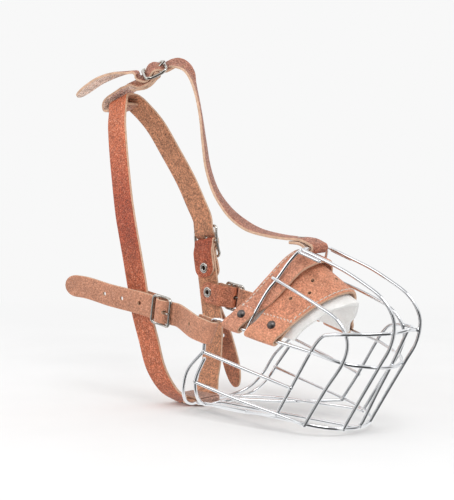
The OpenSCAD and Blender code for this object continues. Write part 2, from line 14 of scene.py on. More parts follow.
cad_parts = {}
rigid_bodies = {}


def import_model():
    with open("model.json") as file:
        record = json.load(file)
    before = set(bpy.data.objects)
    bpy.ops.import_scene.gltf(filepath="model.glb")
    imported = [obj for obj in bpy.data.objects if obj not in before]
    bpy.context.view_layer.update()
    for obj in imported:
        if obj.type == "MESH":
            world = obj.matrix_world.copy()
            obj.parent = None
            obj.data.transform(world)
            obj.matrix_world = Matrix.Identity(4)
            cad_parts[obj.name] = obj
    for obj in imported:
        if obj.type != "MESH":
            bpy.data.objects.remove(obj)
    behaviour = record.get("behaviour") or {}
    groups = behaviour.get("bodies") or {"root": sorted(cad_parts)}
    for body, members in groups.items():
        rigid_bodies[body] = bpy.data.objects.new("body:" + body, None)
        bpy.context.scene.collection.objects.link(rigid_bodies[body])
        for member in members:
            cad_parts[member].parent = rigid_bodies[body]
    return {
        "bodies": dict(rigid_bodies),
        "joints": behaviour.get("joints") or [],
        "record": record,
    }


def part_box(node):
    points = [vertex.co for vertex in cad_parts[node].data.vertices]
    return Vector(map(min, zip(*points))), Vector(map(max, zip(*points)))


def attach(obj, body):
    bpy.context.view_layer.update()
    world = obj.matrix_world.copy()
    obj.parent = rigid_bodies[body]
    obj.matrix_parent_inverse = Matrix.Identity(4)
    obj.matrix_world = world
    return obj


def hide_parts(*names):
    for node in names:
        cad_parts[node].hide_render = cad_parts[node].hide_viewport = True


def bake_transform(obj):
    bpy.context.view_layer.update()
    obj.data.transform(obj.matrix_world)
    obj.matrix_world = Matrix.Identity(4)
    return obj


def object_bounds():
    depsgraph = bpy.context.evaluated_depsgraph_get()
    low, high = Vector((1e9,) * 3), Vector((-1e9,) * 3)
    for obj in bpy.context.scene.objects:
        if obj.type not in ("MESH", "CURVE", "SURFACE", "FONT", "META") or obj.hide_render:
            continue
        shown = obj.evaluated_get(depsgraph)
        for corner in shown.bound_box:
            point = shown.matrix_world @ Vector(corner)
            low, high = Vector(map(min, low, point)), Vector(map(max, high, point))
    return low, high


for leftover in list(bpy.data.objects):
    bpy.data.objects.remove(leftover)
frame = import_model()
cad_low, cad_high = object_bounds()

MM = 0.001
record = frame["record"]
BODY = {node: body for body, nodes in record["behaviour"]["bodies"].items() for node in nodes}
PIVOT = {joint["name"]: Vector(joint["pos_m"]) / MM for joint in frame["joints"]}

# Main sizes; all but the wire's are those of the CAD part.
WIRE_R = (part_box("center_wire")[1].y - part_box("center_wire")[0].y) / 2 / MM
STRAP_W = 20.0
NECK_W = 24.0
STRAP_T = 2.4
PAD_T = 2.6
FELT_T = 3.6
FRAME_L = 24.0
NECK_FRAME_L = 32.0
ROD_R = 1.4
BAR_R = 1.2
FRAME_ARCH = 2.4
SIDE_GAP = 0.6
PRONG_R = 1.1
CROSSBAR_Z = 143.0
NOSE_Y = 17.5
CHEEK_Y = 38.0
FLOOR_Z = WIRE_R


# ---------- curves ----------

def points(*rows):
    return [Vector(row) for row in rows]


def mirror(path):
    return [Vector((p.x, -p.y, p.z)) for p in path]


def both_sides(half):
    """A half path that ends on the symmetry plane, followed by its mirror image."""
    return half + mirror(half[-2::-1])


def spline(values, i, t):
    """Catmull-Rom curve through values, between value i and the next."""
    last = len(values) - 1
    a, b = values[max(i - 1, 0)], values[i]
    c, d = values[i + 1], values[min(i + 2, last)]
    return 0.5 * (2 * b + (c - a) * t + (2 * a - 5 * b + 4 * c - d) * t * t
                  + (3 * b - a - 3 * c + d) * t * t * t)


def fine_curve(keys, across, step=0.35):
    """Closely spaced points of a curve, with the direction across it at each."""
    line, wide = [], []
    for i in range(len(keys) - 1):
        count = max(3, math.ceil((keys[i + 1] - keys[i]).length / step))
        for j in range(count):
            line.append(spline(keys, i, j / count))
            wide.append(spline(across, i, j / count))
    line.append(keys[-1].copy())
    wide.append(across[-1].copy())
    return line, wide


def distances(line):
    total, out = 0.0, [0.0]
    for a, b in zip(line, line[1:]):
        total += (b - a).length
        out.append(total)
    return out


# spacing of stations along the shaped tip of a strap
TIP_REACH = 1.5
TIP_STEP_FINEST = 0.35
TIP_STEP = 0.8


def thin_out(line, widest=2.0, finest=0.4, turn=0.22, ends=0.0):
    """Indices that keep few points where the curve is straight and many where it turns."""
    run = distances(line)
    keep, cost = [0], 0.0
    for k in range(1, len(line) - 1):
        before, after = line[k] - line[k - 1], line[k + 1] - line[k]
        bend = before.angle(after, 0.0) / max(after.length, 1e-6)
        pitch = min(widest, max(finest, turn / max(bend, 1e-6)))
        from_end = min(run[k], run[-1] - run[k])
        if from_end < ends:
            pitch = min(pitch, TIP_STEP_FINEST if from_end < TIP_REACH else TIP_STEP)
        cost += after.length / pitch
        if cost >= 1.0:
            keep.append(k)
            cost = 0.0
    return keep + [len(line) - 1]


def tangent(line, k):
    return (line[min(k + 1, len(line) - 1)] - line[max(k - 1, 0)]).normalized()


def bend(x, z, radius, start, end, step):
    """Points on an arc in the plane y = 0, from one angle in degrees to another."""
    return [Vector((x + radius * math.cos(math.radians(a)), 0,
                    z + radius * math.sin(math.radians(a)))) for a in range(start, end + 1, step)]


def squared(vector, axis):
    """The unit vector nearest to a vector that is square to the axis."""
    return (vector - axis * vector.dot(axis)).normalized()


# ---------- meshes ----------

SHARP_ANGLE = 35


def make_piece(name, verts, faces, slots, uvs, materials, flip=False, sharp=SHARP_ANGLE):
    """A mesh object from millimetre points, with uvs that run along and around it."""
    mesh = bpy.data.meshes.new(name)
    side = -1.0 if flip else 1.0
    mesh.from_pydata([(p.x * MM, p.y * MM * side, p.z * MM) for p in verts], [], faces)
    for material in materials:
        mesh.materials.append(material)
    mesh.polygons.foreach_set("material_index", slots)
    layer = mesh.uv_layers.new(name="along")
    layer.data.foreach_set("uv", [x * MM for pair in uvs for x in pair])
    tidy = bmesh.new()
    tidy.from_mesh(mesh)
    bmesh.ops.recalc_face_normals(tidy, faces=tidy.faces)
    tidy.to_mesh(mesh)
    tidy.free()
    shade(mesh, sharp)
    obj = bpy.data.objects.new(name, mesh)
    bpy.context.scene.collection.objects.link(obj)
    return obj


def shade(mesh, sharp):
    """Smooth shading with creases where faces meet at more than the sharp angle."""
    mesh.polygons.foreach_set("use_smooth", [True] * len(mesh.polygons))
    mesh.set_sharp_from_angle(angle=math.radians(sharp))


def loft(rings, side_slots, cap_slot, closed=False):
    """Faces over rings of points: returns verts, faces, slots and uvs."""
    size, count = len(rings[0]), len(rings)
    verts = [p for ring in rings for p in ring]
    run = distances([sum(ring, Vector()) / size for ring in rings] + [rings[0][0]] * closed)
    around = distances(list(rings[count // 2]) + [rings[count // 2][0]])
    faces, slots, uvs = [], [], []
    for i in range(count if closed else count - 1):
        for j in range(size):
            k, n = (j + 1) % size, (i + 1) % count
            faces.append((i * size + j, i * size + k, n * size + k, n * size + j))
            slots.append(side_slots[j])
            uvs += [(run[i], around[j]), (run[i], around[j + 1]),
                    (run[i + 1], around[j + 1]), (run[i + 1], around[j])]
    if not closed:
        for first in (0, (count - 1) * size):
            faces.append(tuple(range(first, first + size)))
            slots.append(cap_slot)
            uvs += [(around[j], 0.0) for j in range(size)]
    return verts, faces, slots, uvs


def circle(centre, u, w, radius, sides):
    """Points round a centre, in the plane of the unit vectors u and w."""
    return [centre + radius * (math.cos(a) * u + math.sin(a) * w)
            for a in (2 * math.pi * s / sides for s in range(sides))]


def merged(parts):
    """Several lofts as one set of verts, faces, slots and uvs."""
    verts, faces, slots, uvs = [], [], [], []
    for part in parts:
        base = len(verts)
        verts += part[0]
        faces += [tuple(base + i for i in face) for face in part[1]]
        slots += part[2]
        uvs += part[3]
    return verts, faces, slots, uvs


def tube_loft(keys, radius, sides=16, closed=False, taper=None, steps=0.35):
    """A round rod along a curve, with rounded ends."""
    if closed:
        line = []
        for i in range(len(keys)):
            ring = [keys[(i + o) % len(keys)] for o in (-1, 0, 1, 2)]
            count = max(2, math.ceil((ring[2] - ring[1]).length / 0.7))
            line += [spline(ring, 1, j / count) for j in range(count)]
        kept = line
        tangents = [(line[(k + 1) % len(line)] - line[k - 1]).normalized()
                    for k in range(len(line))]
        swell = [radius] * len(line)
    else:
        fine, _ = fine_curve(keys, keys, steps)
        kept_at = thin_out(fine, 3.0, 0.5, 0.2)
        kept = [fine[k] for k in kept_at]
        tangents = [tangent(fine, k) for k in kept_at]
        run = distances(kept)
        swell = [radius * (taper(d / run[-1]) if taper else 1.0) for d in run]
    normal = tangents[0].orthogonal().normalized()
    rings = []
    for centre, along, r in zip(kept, tangents, swell):
        normal = squared(normal, along)
        rings.append(circle(centre, normal, along.cross(normal), r, sides))
    if closed:
        rings = untwist(rings, kept, tangents)
    else:
        rings = rounded_ends(rings, kept, tangents)
    return loft(rings, [0] * sides, 0, closed)


def untwist(rings, centres, tangents):
    """Spreads the turn left over at the joint of a closed rod along its whole length."""
    start, end = rings[0][0] - centres[0], rings[-1][0] - centres[-1]
    left = squared(start, tangents[0]).angle(squared(end, tangents[0]), 0.0)
    if squared(end, tangents[0]).cross(squared(start, tangents[0])).dot(tangents[0]) < 0:
        left = -left
    out = []
    for k, ring in enumerate(rings):
        turn = Matrix.Rotation(left * k / len(rings), 3, tangents[k])
        out.append([centres[k] + turn @ (p - centres[k]) for p in ring])
    return out


def rounded_ends(rings, centres, tangents):
    """Adds shrinking rings at both ends of a rod, so that its ends are domed."""
    def cap(ring, centre, out):
        r = (ring[0] - centre).length
        made = []
        for share in (0.5, 0.85):
            lift, keep = r * 0.6 * share, math.sqrt(1 - share * share)
            made.append([centre + (p - centre) * keep + out * lift for p in ring])
        return made
    first = cap(rings[0], centres[0], -tangents[0])
    last = cap(rings[-1], centres[-1], tangents[-1])
    return first[::-1] + rings + last


def section(half, thick, crown, grain_round=0.75, flesh_round=0.35):
    """Outline of a strap: offsets across and through it, flesh side first, with its slots."""
    t = thick / 2
    rg, rf = min(grain_round, half * 0.9), min(flesh_round, half * 0.9)
    out = [(-(half - rf) + 2 * (half - rf) * j / 6, -t) for j in range(6)]
    out += arc(half - rf, -t + rf, rf, -90, 0, 2)
    out += arc(half - rg, t - rg, rg, 0, 90, 4)
    flat = half - rg
    out += [(flat - 2 * flat * j / 8, t + crown * (1 - (1 - j / 4) ** 2)) for j in range(1, 8)]
    out += arc(-(half - rg), t - rg, rg, 90, 180, 4)
    out += arc(-(half - rf), -t + rf, rf, 180, 270, 2)[:-1]
    return out


def arc(x, y, r, start, end, steps):
    return [(x + r * math.cos(math.radians(start + (end - start) * k / steps)),
             y + r * math.sin(math.radians(start + (end - start) * k / steps)))
            for k in range(steps + 1)]


def section_slots(half, thick):
    """Slot 0 is the grain side, 1 the flesh side and 2 the cut edge."""
    outline = section(half, thick, 0.0)
    slots = []
    for j, a in enumerate(outline):
        b = outline[(j + 1) % len(outline)]
        level = (a[1] + b[1]) / 2 / (thick / 2)
        slots.append(0 if level > 0.72 else 1 if level < -0.86 else 2)
    return slots


def tip_share(d, tip):
    """Share of the full width at distance d from a tip of a given length and bluntness."""
    length, blunt = tip
    if d >= length:
        return 1.0
    return blunt + (1 - blunt) * math.sqrt(max(0.0, 1 - (1 - d / length) ** 2))


SQUARE_TIP = (2.0, 0.82)
ROUND_TIP = (9.0, 0.12)
POINT_TIP = (15.0, 0.10)
LONG_TIP = (26.0, 0.05)


class Strap:
    """A strap's centreline, with the direction across it and its grain normal at each station."""

    def __init__(self, keys, across, width, thick, tips=(SQUARE_TIP, SQUARE_TIP), grain=1):
        line, wide = fine_curve(keys, across)
        kept = thin_out(line, ends=max(tips[0][0], tips[1][0]))
        run = distances(line)
        self.thick, self.half = thick, width / 2
        self.centre = [line[k] for k in kept]
        self.run = [run[k] for k in kept]
        self.along = [tangent(line, k) for k in kept]
        self.wide = [squared(wide[k], t) * grain for k, t in zip(kept, self.along)]
        self.normal = [t.cross(w) for t, w in zip(self.along, self.wide)]
        self.halves = [self.half * min(tip_share(d, tips[0]), tip_share(self.run[-1] - d, tips[1]))
                       for d in self.run]

    def rings(self, crown=0.12):
        made = []
        for centre, wide, normal, half in zip(self.centre, self.wide, self.normal, self.halves):
            made.append([centre + wide * u + normal * n
                         for u, n in section(half, self.thick, crown)])
        return made

    def piece(self, name, materials, flip=False, crown=0.12):
        slots = section_slots(self.half, self.thick)
        return make_piece(name, *loft(self.rings(crown), slots, 2), materials=materials, flip=flip)

    def at(self, distance, offset=0.0, lift=0.0):
        """Point and axes on the strap at a distance along it."""
        k = min(range(len(self.run)), key=lambda i: abs(self.run[i] - distance))
        spot = self.centre[k] + self.along[k] * (distance - self.run[k])
        return (spot + self.wide[k] * offset + self.normal[k] * lift,
                self.along[k], self.wide[k], self.normal[k])

    def nearest(self, spot):
        """Distance along the strap of the station nearest to a point."""
        k = min(range(len(self.run)), key=lambda i: (self.centre[i] - spot).length)
        return self.run[k]


def cylinder_loft(low, high, radius, sides=24):
    """A round plug between two points; its walls take the cut-edge slot."""
    axis = (high - low).normalized()
    u = axis.orthogonal().normalized()
    w = axis.cross(u)
    rings = [circle(centre, u, w, radius, sides) for centre in (low, high)]
    return loft(rings, [2] * sides, 2)


def lathe(profile, centre, axis, sides=40):
    """A turned part: profile gives (radius, height) pairs along the axis."""
    u = axis.orthogonal().normalized()
    w = axis.cross(u)
    rings = [circle(centre + axis * h, u, w, r, sides) for r, h in profile]
    return loft(rings, [0] * sides, 0)


def ring_lathe(profile, centre, axis, sides=40):
    """A turned ring: the profile is a closed outline away from the axis."""
    u = axis.orthogonal().normalized()
    w = axis.cross(u)
    rings = [[centre + axis * h + r * (math.cos(a) * u + math.sin(a) * w) for r, h in profile]
             for a in (2 * math.pi * s / sides for s in range(sides))]
    return loft(rings, [0] * len(profile), 0, closed=True)


def punch(obj, holes, flip=False):
    """Cuts round holes: each is (low point, high point, radius)."""
    parts = merged([cylinder_loft(low, high, r) for low, high, r in holes])
    cutter = make_piece("cutter", *parts, materials=list(obj.data.materials), flip=flip)
    cut = obj.modifiers.new("holes", "BOOLEAN")
    cut.object = cutter
    cut.solver = "EXACT"
    cut.use_self = True
    apply_modifiers(obj)
    bpy.data.objects.remove(cutter)
    shade(obj.data, SHARP_ANGLE)


def apply_modifiers(obj):
    """Replaces the mesh by its evaluated shape."""
    depsgraph = bpy.context.evaluated_depsgraph_get()
    made = bpy.data.meshes.new_from_object(obj.evaluated_get(depsgraph))
    obj.modifiers.clear()
    old = obj.data
    obj.data = made
    bpy.data.meshes.remove(old)


def stand_for(obj, *nodes):
    """obj rides on the nodes' body and is shown in their place."""
    if BODY[nodes[0]] in frame["bodies"]:
        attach(obj, BODY[nodes[0]])
    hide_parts(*nodes)
    return obj


# ---------- materials ----------

def srgb(red, green, blue):
    """A colour as seen on a screen, 0 to 255, as linear values."""
    def linear(c):
        c /= 255
        return c / 12.92 if c <= 0.04045 else ((c + 0.055) / 1.055) ** 2.4
    return (linear(red), linear(green), linear(blue), 1.0)


def shaded(colour, share):
    return tuple(min(1.0, c * share) for c in colour[:3]) + (1.0,)


class Material:
    """A node material, with short calls for the nodes used here."""

    def __init__(self, name):
        self.material = bpy.data.materials.new(name)
        self.material.use_nodes = True
        self.tree = self.material.node_tree
        self.shader = self.tree.nodes["Principled BSDF"]
        self.where = self.node("ShaderNodeTexCoord")

    def node(self, kind, inputs=None, **settings):
        made = self.tree.nodes.new(kind)
        for key, value in settings.items():
            setattr(made, key, value)
        for key, value in (inputs or {}).items():
            self.feed(made, key, value)
        return made

    def feed(self, node, key, value):
        if isinstance(value, bpy.types.NodeSocket):
            self.tree.links.new(value, node.inputs[key])
        else:
            node.inputs[key].default_value = value

    def set(self, **values):
        for key, value in values.items():
            self.feed(self.shader, key.replace("_", " "), value)

    def noise(self, scale, detail=4.0, roughness=0.55, vector=None, distortion=0.0):
        source = vector or self.where.outputs["Object"]
        return self.node("ShaderNodeTexNoise", {
            "Vector": source, "Scale": scale, "Detail": detail, "Roughness": roughness,
            "Distortion": distortion}).outputs["Fac"]

    def cells(self, scale):
        source = self.where.outputs["Object"]
        return self.node("ShaderNodeTexVoronoi", {
            "Vector": source, "Scale": scale}).outputs["Distance"]

    def stretched(self, along, across):
        """Coordinates that run along and across a strap, scaled apart."""
        return self.node("ShaderNodeMapping", {
            "Vector": self.where.outputs["UV"],
            "Scale": (along, across, 1.0)}).outputs["Vector"]

    def ramp(self, value, *stops):
        made = self.node("ShaderNodeValToRGB", {"Fac": value})
        ramp = made.color_ramp
        while len(ramp.elements) < len(stops):
            ramp.elements.new(0.5)
        for element, (place, colour) in zip(ramp.elements, stops):
            element.position = place
            element.color = colour if isinstance(colour, tuple) else (colour,) * 3 + (1.0,)
        return made.outputs["Color"]

    def math(self, operation, a, b=0.0, c=0.0):
        return self.node("ShaderNodeMath", {0: a, 1: b, 2: c}, operation=operation).outputs[0]

    def span(self, value, low, high, dark, light):
        """A factor that runs from dark to light as value runs from low to high."""
        return self.node("ShaderNodeMapRange", {
            "Value": value, "From Min": low, "From Max": high, "To Min": dark,
            "To Max": light}).outputs["Result"]

    def mix(self, factor, a, b, blend="MIX"):
        made = self.node("ShaderNodeMix", data_type="RGBA", blend_type=blend)
        self.feed(made, 0, factor)
        self.feed(made, 6, a)
        self.feed(made, 7, b)
        return made.outputs[2]

    def bump(self, height, strength, distance):
        made = self.node("ShaderNodeBump", {
            "Height": height, "Strength": strength, "Distance": distance})
        self.feed(self.shader, "Normal", made.outputs["Normal"])

    def edges(self, low=0.49, high=0.56):
        """1 on worn outer edges, 0 elsewhere."""
        point = self.node("ShaderNodeNewGeometry").outputs["Pointiness"]
        return self.ramp(point, (low, 0.0), (high, 1.0))


# the light flecks of the grain side, and painted shade that darkens the neck strap around a middle
# height
GRAIN_LIGHT = srgb(240, 188, 158)
NECK_PAINTED_SHADE = (0.62, 0.40, 0.34, 1.0)
NECK_SHADE_HEIGHT = 0.165


def leather_grain(name, tone, contrast=1.0, uneven=0.15, dark_height=None, roughness=0.48):
    """Dyed grain side: mottled colour, pebbled grain, pores, fine streaks and worn edges."""
    m = Material(name)
    speck = m.noise(700, 4, 0.8)
    mottle = m.noise(190, 5, 0.7, distortion=0.5)
    blotch = m.noise(17, 4, 0.6)
    streak = m.noise(1.0, 3, 0.6, m.stretched(90, 700))
    pebble = m.cells(820)
    pores = m.noise(1700, 3, 0.7)
    spread = 0.24 * contrast
    base = m.ramp(mottle, (0.36, shaded(tone, 1 - spread)), (0.5, tone),
                  (0.64, shaded(tone, 1 + spread)))
    base = m.mix(1.0, base, m.span(speck, 0.38, 0.58, 1 - 0.80 * contrast, 1.08), "MULTIPLY")
    base = m.mix(m.span(speck, 0.53, 0.66, 0.0, 0.85 * contrast), base, GRAIN_LIGHT)
    base = m.mix(1.0, base, m.span(blotch, 0.3, 0.7, 1 - uneven, 1 + uneven), "MULTIPLY")
    base = m.mix(1.0, base, m.span(streak, 0.3, 0.7, 0.90, 1.08), "MULTIPLY")
    base = m.mix(1.0, base, m.span(pores, 0.3, 0.6, 0.72, 1.12), "MULTIPLY")
    base = m.mix(m.math("MULTIPLY", m.edges(), 0.45), base, shaded(tone, 1.7))
    # painted shade: the colour is darkened near a given height, where less light falls on the strap
    if dark_height:
        level = m.node("ShaderNodeSeparateXYZ", {"Vector": m.where.outputs["Object"]}).outputs["Z"]
        away = m.math("ABSOLUTE", m.math("SUBTRACT", level, dark_height))
        painted_shade_share = m.span(away, 0.015, 0.085, 1.0, 0.0)
        base = m.mix(painted_shade_share, base, m.mix(1.0, base, NECK_PAINTED_SHADE, "MULTIPLY"))
    height = m.math("ADD", m.math("MULTIPLY", pebble, 0.8), m.math("MULTIPLY", pores, 0.5))
    height = m.math("ADD", height, m.math("MULTIPLY", speck, 1.2))
    m.bump(height, 0.75, 0.0007)
    m.set(Base_Color=base, Roughness=m.span(speck, 0.3, 0.7, roughness + 0.2, roughness - 0.1),
          Specular_IOR_Level=0.55)
    return m.material


def leather_flesh(name, tone):
    """Suede back: loose fibres, pale and dark patches, no shine."""
    m = Material(name)
    fibre = m.noise(1.0, 6, 0.7, m.stretched(420, 1100), 0.6)
    patch = m.noise(120, 5, 0.65, distortion=0.6)
    speck = m.noise(600, 4, 0.8)
    fuzz = m.noise(1900, 5, 0.75)
    base = m.ramp(patch, (0.36, shaded(tone, 0.78)), (0.5, tone), (0.64, shaded(tone, 1.16)))
    base = m.mix(1.0, base, m.span(speck, 0.38, 0.62, 0.42, 1.5), "MULTIPLY")
    base = m.mix(1.0, base, m.span(fibre, 0.3, 0.7, 0.80, 1.18), "MULTIPLY")
    base = m.mix(1.0, base, m.span(fuzz, 0.3, 0.7, 0.82, 1.12), "MULTIPLY")
    height = m.math("ADD", m.math("MULTIPLY", fibre, 0.7), m.math("MULTIPLY", fuzz, 0.5))
    height = m.math("ADD", height, speck)
    m.bump(height, 0.8, 0.0007)
    m.set(Base_Color=base, Roughness=0.95, Specular_IOR_Level=0.15, Sheen_Weight=0.2,
          Sheen_Roughness=0.6)
    return m.material


def leather_edge(name, tone):
    """Cut edge: raw layered fibres in fine darker and lighter streaks."""
    m = Material(name)
    layers = m.noise(1.0, 4, 0.6, m.stretched(160, 3200))
    patch = m.noise(210, 4, 0.6)
    base = m.ramp(layers, (0.3, shaded(tone, 0.72)), (0.55, tone), (0.8, shaded(tone, 1.12)))
    base = m.mix(1.0, base, m.span(patch, 0.3, 0.7, 0.8, 1.15), "MULTIPLY")
    m.bump(m.math("ADD", layers, m.math("MULTIPLY", patch, 0.4)), 0.5, 0.0004)
    m.set(Base_Color=base, Roughness=0.85, Specular_IOR_Level=0.2)
    return m.material


def chrome_wire():
    """Bright plating: faint draw lines, tiny pits and a soft variation in polish."""
    m = Material("chrome_wire_plated")
    lines = m.noise(1.0, 3, 0.6, m.stretched(60, 2600))
    pits = m.noise(900, 3, 0.6)
    cloud = m.noise(60, 3, 0.5)
    base = m.ramp(cloud, (0.3, srgb(222, 224, 227)), (0.7, srgb(240, 241, 243)))
    rough = m.math("ADD", 0.05, m.math("MULTIPLY", cloud, 0.09))
    m.bump(m.math("ADD", m.math("MULTIPLY", lines, 0.5), m.math("MULTIPLY", pits, 0.5)),
           0.08, 0.0003)
    m.set(Base_Color=base, Metallic=1.0, Roughness=rough)
    return m.material


def nickel(name, tone, roughness, wear=0.4):
    """Plated fittings: clouded polish, fine scratches and brighter worn edges."""
    m = Material(name)
    scratch = m.noise(1.0, 5, 0.7, m.stretched(500, 4200))
    cloud = m.noise(330, 5, 0.6)
    base = m.mix(m.math("MULTIPLY", m.edges(), wear), tone, srgb(235, 232, 226))
    base = m.mix(1.0, base, m.span(cloud, 0.3, 0.7, 0.75, 1.1), "MULTIPLY")
    rough = m.math("ADD", roughness, m.math("MULTIPLY", cloud, 0.16))
    m.bump(m.math("ADD", scratch, m.math("MULTIPLY", cloud, 0.5)), 0.12, 0.0003)
    m.set(Base_Color=base, Metallic=1.0, Roughness=rough)
    return m.material


def felt_wool():
    """Pressed white wool: tangled fibres at two scales, soft sheen."""
    m = Material("felt_wool")
    tangle = m.noise(520, 6, 0.75, distortion=1.2)
    clump = m.noise(110, 4, 0.6, distortion=0.8)
    base = m.ramp(tangle, (0.25, srgb(236, 234, 229)), (0.6, srgb(253, 252, 250)))
    base = m.mix(1.0, base, m.span(clump, 0.3, 0.7, 0.93, 1.03), "MULTIPLY")
    m.bump(m.math("ADD", tangle, m.math("MULTIPLY", clump, 0.8)), 0.8, 0.0009)
    m.set(Base_Color=base, Roughness=1.0, Specular_IOR_Level=0.05, Sheen_Weight=0.5,
          Sheen_Roughness=0.7)
    return m.material


def thread():
    """Waxed off-white thread with a visible twist."""
    m = Material("thread_waxed")
    twist = m.node("ShaderNodeTexWave", {
        "Vector": m.stretched(900, 900), "Scale": 1.0, "Distortion": 0.6},
        wave_type="BANDS", bands_direction="DIAGONAL").outputs["Fac"]
    fuzz = m.noise(2200, 3, 0.6)
    base = m.ramp(twist, (0.1, srgb(196, 178, 160)), (0.6, srgb(243, 236, 226)))
    base = m.mix(1.0, base, m.span(fuzz, 0.3, 0.7, 0.9, 1.05), "MULTIPLY")
    m.bump(twist, 0.5, 0.0003)
    m.set(Base_Color=base, Roughness=0.7)
    return m.material


EDGE = leather_edge("leather_cut_edge", srgb(214, 178, 152))
DARK_EDGE = leather_edge("leather_worn_edge", srgb(170, 122, 96))


def leather(name, grain, flesh, contrast=1.0, edge=EDGE, **more):
    """The materials of a strap's slots: grain side, flesh side and cut edge."""
    return [leather_grain(name + "_leather_grain", srgb(*grain), contrast, **more),
            leather_flesh(name + "_leather_flesh", srgb(*flesh)), edge]


# the neck strap's grain carries painted shade round its middle height
NECK = leather("neck", (214, 112, 70), (198, 140, 106), 0.9, uneven=0.22,
               dark_height=NECK_SHADE_HEIGHT)
CHEEK = leather("cheek", (196, 134, 104), (206, 150, 120), 0.55)
# painted shade: a darker copy of the cheek leather for the far cheek strap, which gets less light
FAR_CHEEK_SHADED_COPY = leather("far_cheek_shaded", (176, 108, 80), (190, 130, 100), 1.1)
TAB = leather("tab", (204, 122, 88), (190, 128, 98), 0.9, DARK_EDGE)
FOREHEAD = leather("forehead", (172, 104, 80), (240, 216, 200))
CROWN = leather("crown", (190, 132, 106), (240, 214, 198), 0.9)
PAD_BAND = leather("band", (214, 142, 112), (200, 150, 122), 0.72)
PANEL = leather("panel", (222, 144, 110), (200, 150, 122), 0.72)
KEEPER = leather("keeper", (176, 136, 120), (188, 150, 132), 0.9)
CHROME = chrome_wire()
NICKEL = nickel("nickel_bright", srgb(196, 192, 186), 0.16)
BUCKLE = nickel("nickel_buckle_plated", srgb(188, 184, 178), 0.12)
DOME = nickel("nickel_dark", srgb(92, 84, 84), 0.3, 0.25)
FELT = felt_wool()
THREAD = thread()

# ---------- wire basket ----------

# Centrelines of the right-hand wires and of the halves that are mirrored, as in the CAD part.
NOSE_WIRE = points(
    (106, -NOSE_Y - 0.5, CROSSBAR_Z - 0.5), (124, -NOSE_Y, 136.5), (148, -NOSE_Y, 128),
    (168, -NOSE_Y, 118.5), (182, -NOSE_Y, 110.5), (191, -NOSE_Y, 101), (195.5, -NOSE_Y, 89),
    (192.5, -NOSE_Y, 73), (182, -NOSE_Y, 56), (164, -NOSE_Y, 28), (148, -NOSE_Y, FLOOR_Z + 1))
CHEEK_WIRE = points(
    (86, -31, 119.5), (92, -32, 117.5), (118, -36, 109), (140, -CHEEK_Y, 100.5),
    (154, -CHEEK_Y, 94), (163, -CHEEK_Y, 85), (167, -CHEEK_Y, 73), (162, -CHEEK_Y, 58),
    (146, -CHEEK_Y - 0.5, 36), (126, -CHEEK_Y - 1, 6))
CENTER_WIRE = points(
    (196.5, 0, 84.5), (181, 0, 55), (169, 0, 34), (157, 0, 12), (152, 0, 4),
    (145, 0, FLOOR_Z), (100, 0, FLOOR_Z), (50, 0, FLOOR_Z), (-2, 0, FLOOR_Z))
MID_HALF = points(
    (101, -43, 12), (116.5, -44, 35), (136, -44, 65.5), (146, -44, 77.5), (154, -43, 80.5),
    (166, -39.5, 81.5), (180, -31, 82), (192, -17.5, 82.5), (196, -7, 83.5), (196.5, 0, 84))
UPPER_HALF = points(
    (33, -57, 56.5), (35, -57, 70), (40, -56, 80), (48, -55, 84.5), (76, -51.5, 77.5),
    (104, -48, 71.5), (136, -44, 65.5), (161, -36, 58.5), (174, -25, 56), (181, -12, 54.5),
    (183, 0, 54))
RAIL = points((33, -57, 56.5), (75, -52, 46), (117, -45, 35))
LOWER_HALF = points(
    (17, -52, 29), (60, -49, 20), (101, -44, 12.3), (126, -39, 7), (143, -27, 4),
    (150, -12, 2.5), (151.5, 0, 2))
BRIDGE_HALF = points(
    (74, -50, 77), (78.4, -45.5, 89.6), (84.6, -36.7, 108), (90, -31, 118), (97, -24, 132),
    (103, -18.5, 141), (106, -13, CROSSBAR_Z), (106.5, -9, CROSSBAR_Z), (106.5, 0, CROSSBAR_Z))
OUTER_HALF = points(
    (33, -57, 57), (14, -56, 40), (4, -52, 22.5), (-4, -42, 9.5), (-12, -27, 3),
    (-17, -14, FLOOR_Z), (-17, -12, FLOOR_Z), (-17, 0, FLOOR_Z))
INNER_HALF = points(
    (33, -56, 51), (20, -53, 32.5), (14, -47, 19), (8, -36, 8.5), (1, -19, 2.5),
    (-2, -8, FLOOR_Z), (-2, 0, FLOOR_Z))
FLOOR_WIRE = points((-8, -22, 3), (33, -30, 6.5), (84, -34, 7), (113, -37, 7), (126, -39, 6))
THROAT_WIRE = points((4, -18, 2.5), (50, -30, 5), (101, -43, 11))
STUB = points((106, -21, CROSSBAR_Z - 2.5), (126, -20.5, 134))

WIRES = {
    "nose_wire_right": NOSE_WIRE, "nose_wire_left": mirror(NOSE_WIRE),
    "cheek_wire_right": CHEEK_WIRE, "cheek_wire_left": mirror(CHEEK_WIRE),
    "center_wire": CENTER_WIRE, "mid_ring_wire": both_sides(MID_HALF),
    "upper_ring_wire": both_sides(UPPER_HALF), "side_rail_right": RAIL,
    "side_rail_left": mirror(RAIL), "lower_ring_wire": both_sides(LOWER_HALF),
    "nose_bridge_hoop": both_sides(BRIDGE_HALF), "rear_hoop_outer": both_sides(OUTER_HALF),
    "rear_hoop_inner": both_sides(INNER_HALF), "floor_wire_right": FLOOR_WIRE,
    "floor_wire_left": mirror(FLOOR_WIRE), "throat_wire_right": THROAT_WIRE,
    "throat_wire_left": mirror(THROAT_WIRE), "bridge_stub_right": STUB,
    "bridge_stub_left": mirror(STUB)}


def make_wires():
    for node, keys in WIRES.items():
        rod = make_piece(node + "_rod", *tube_loft(keys, WIRE_R), materials=[CHROME])
        stand_for(rod, node)


def closest(first, second):
    """Closest points of two dense centrelines."""
    best = (1e9, None, None)
    for a in first[::2]:
        for b in second[::2]:
            gap = (a - b).length_squared
            if gap < best[0]:
                best = (gap, a, b)
    return best


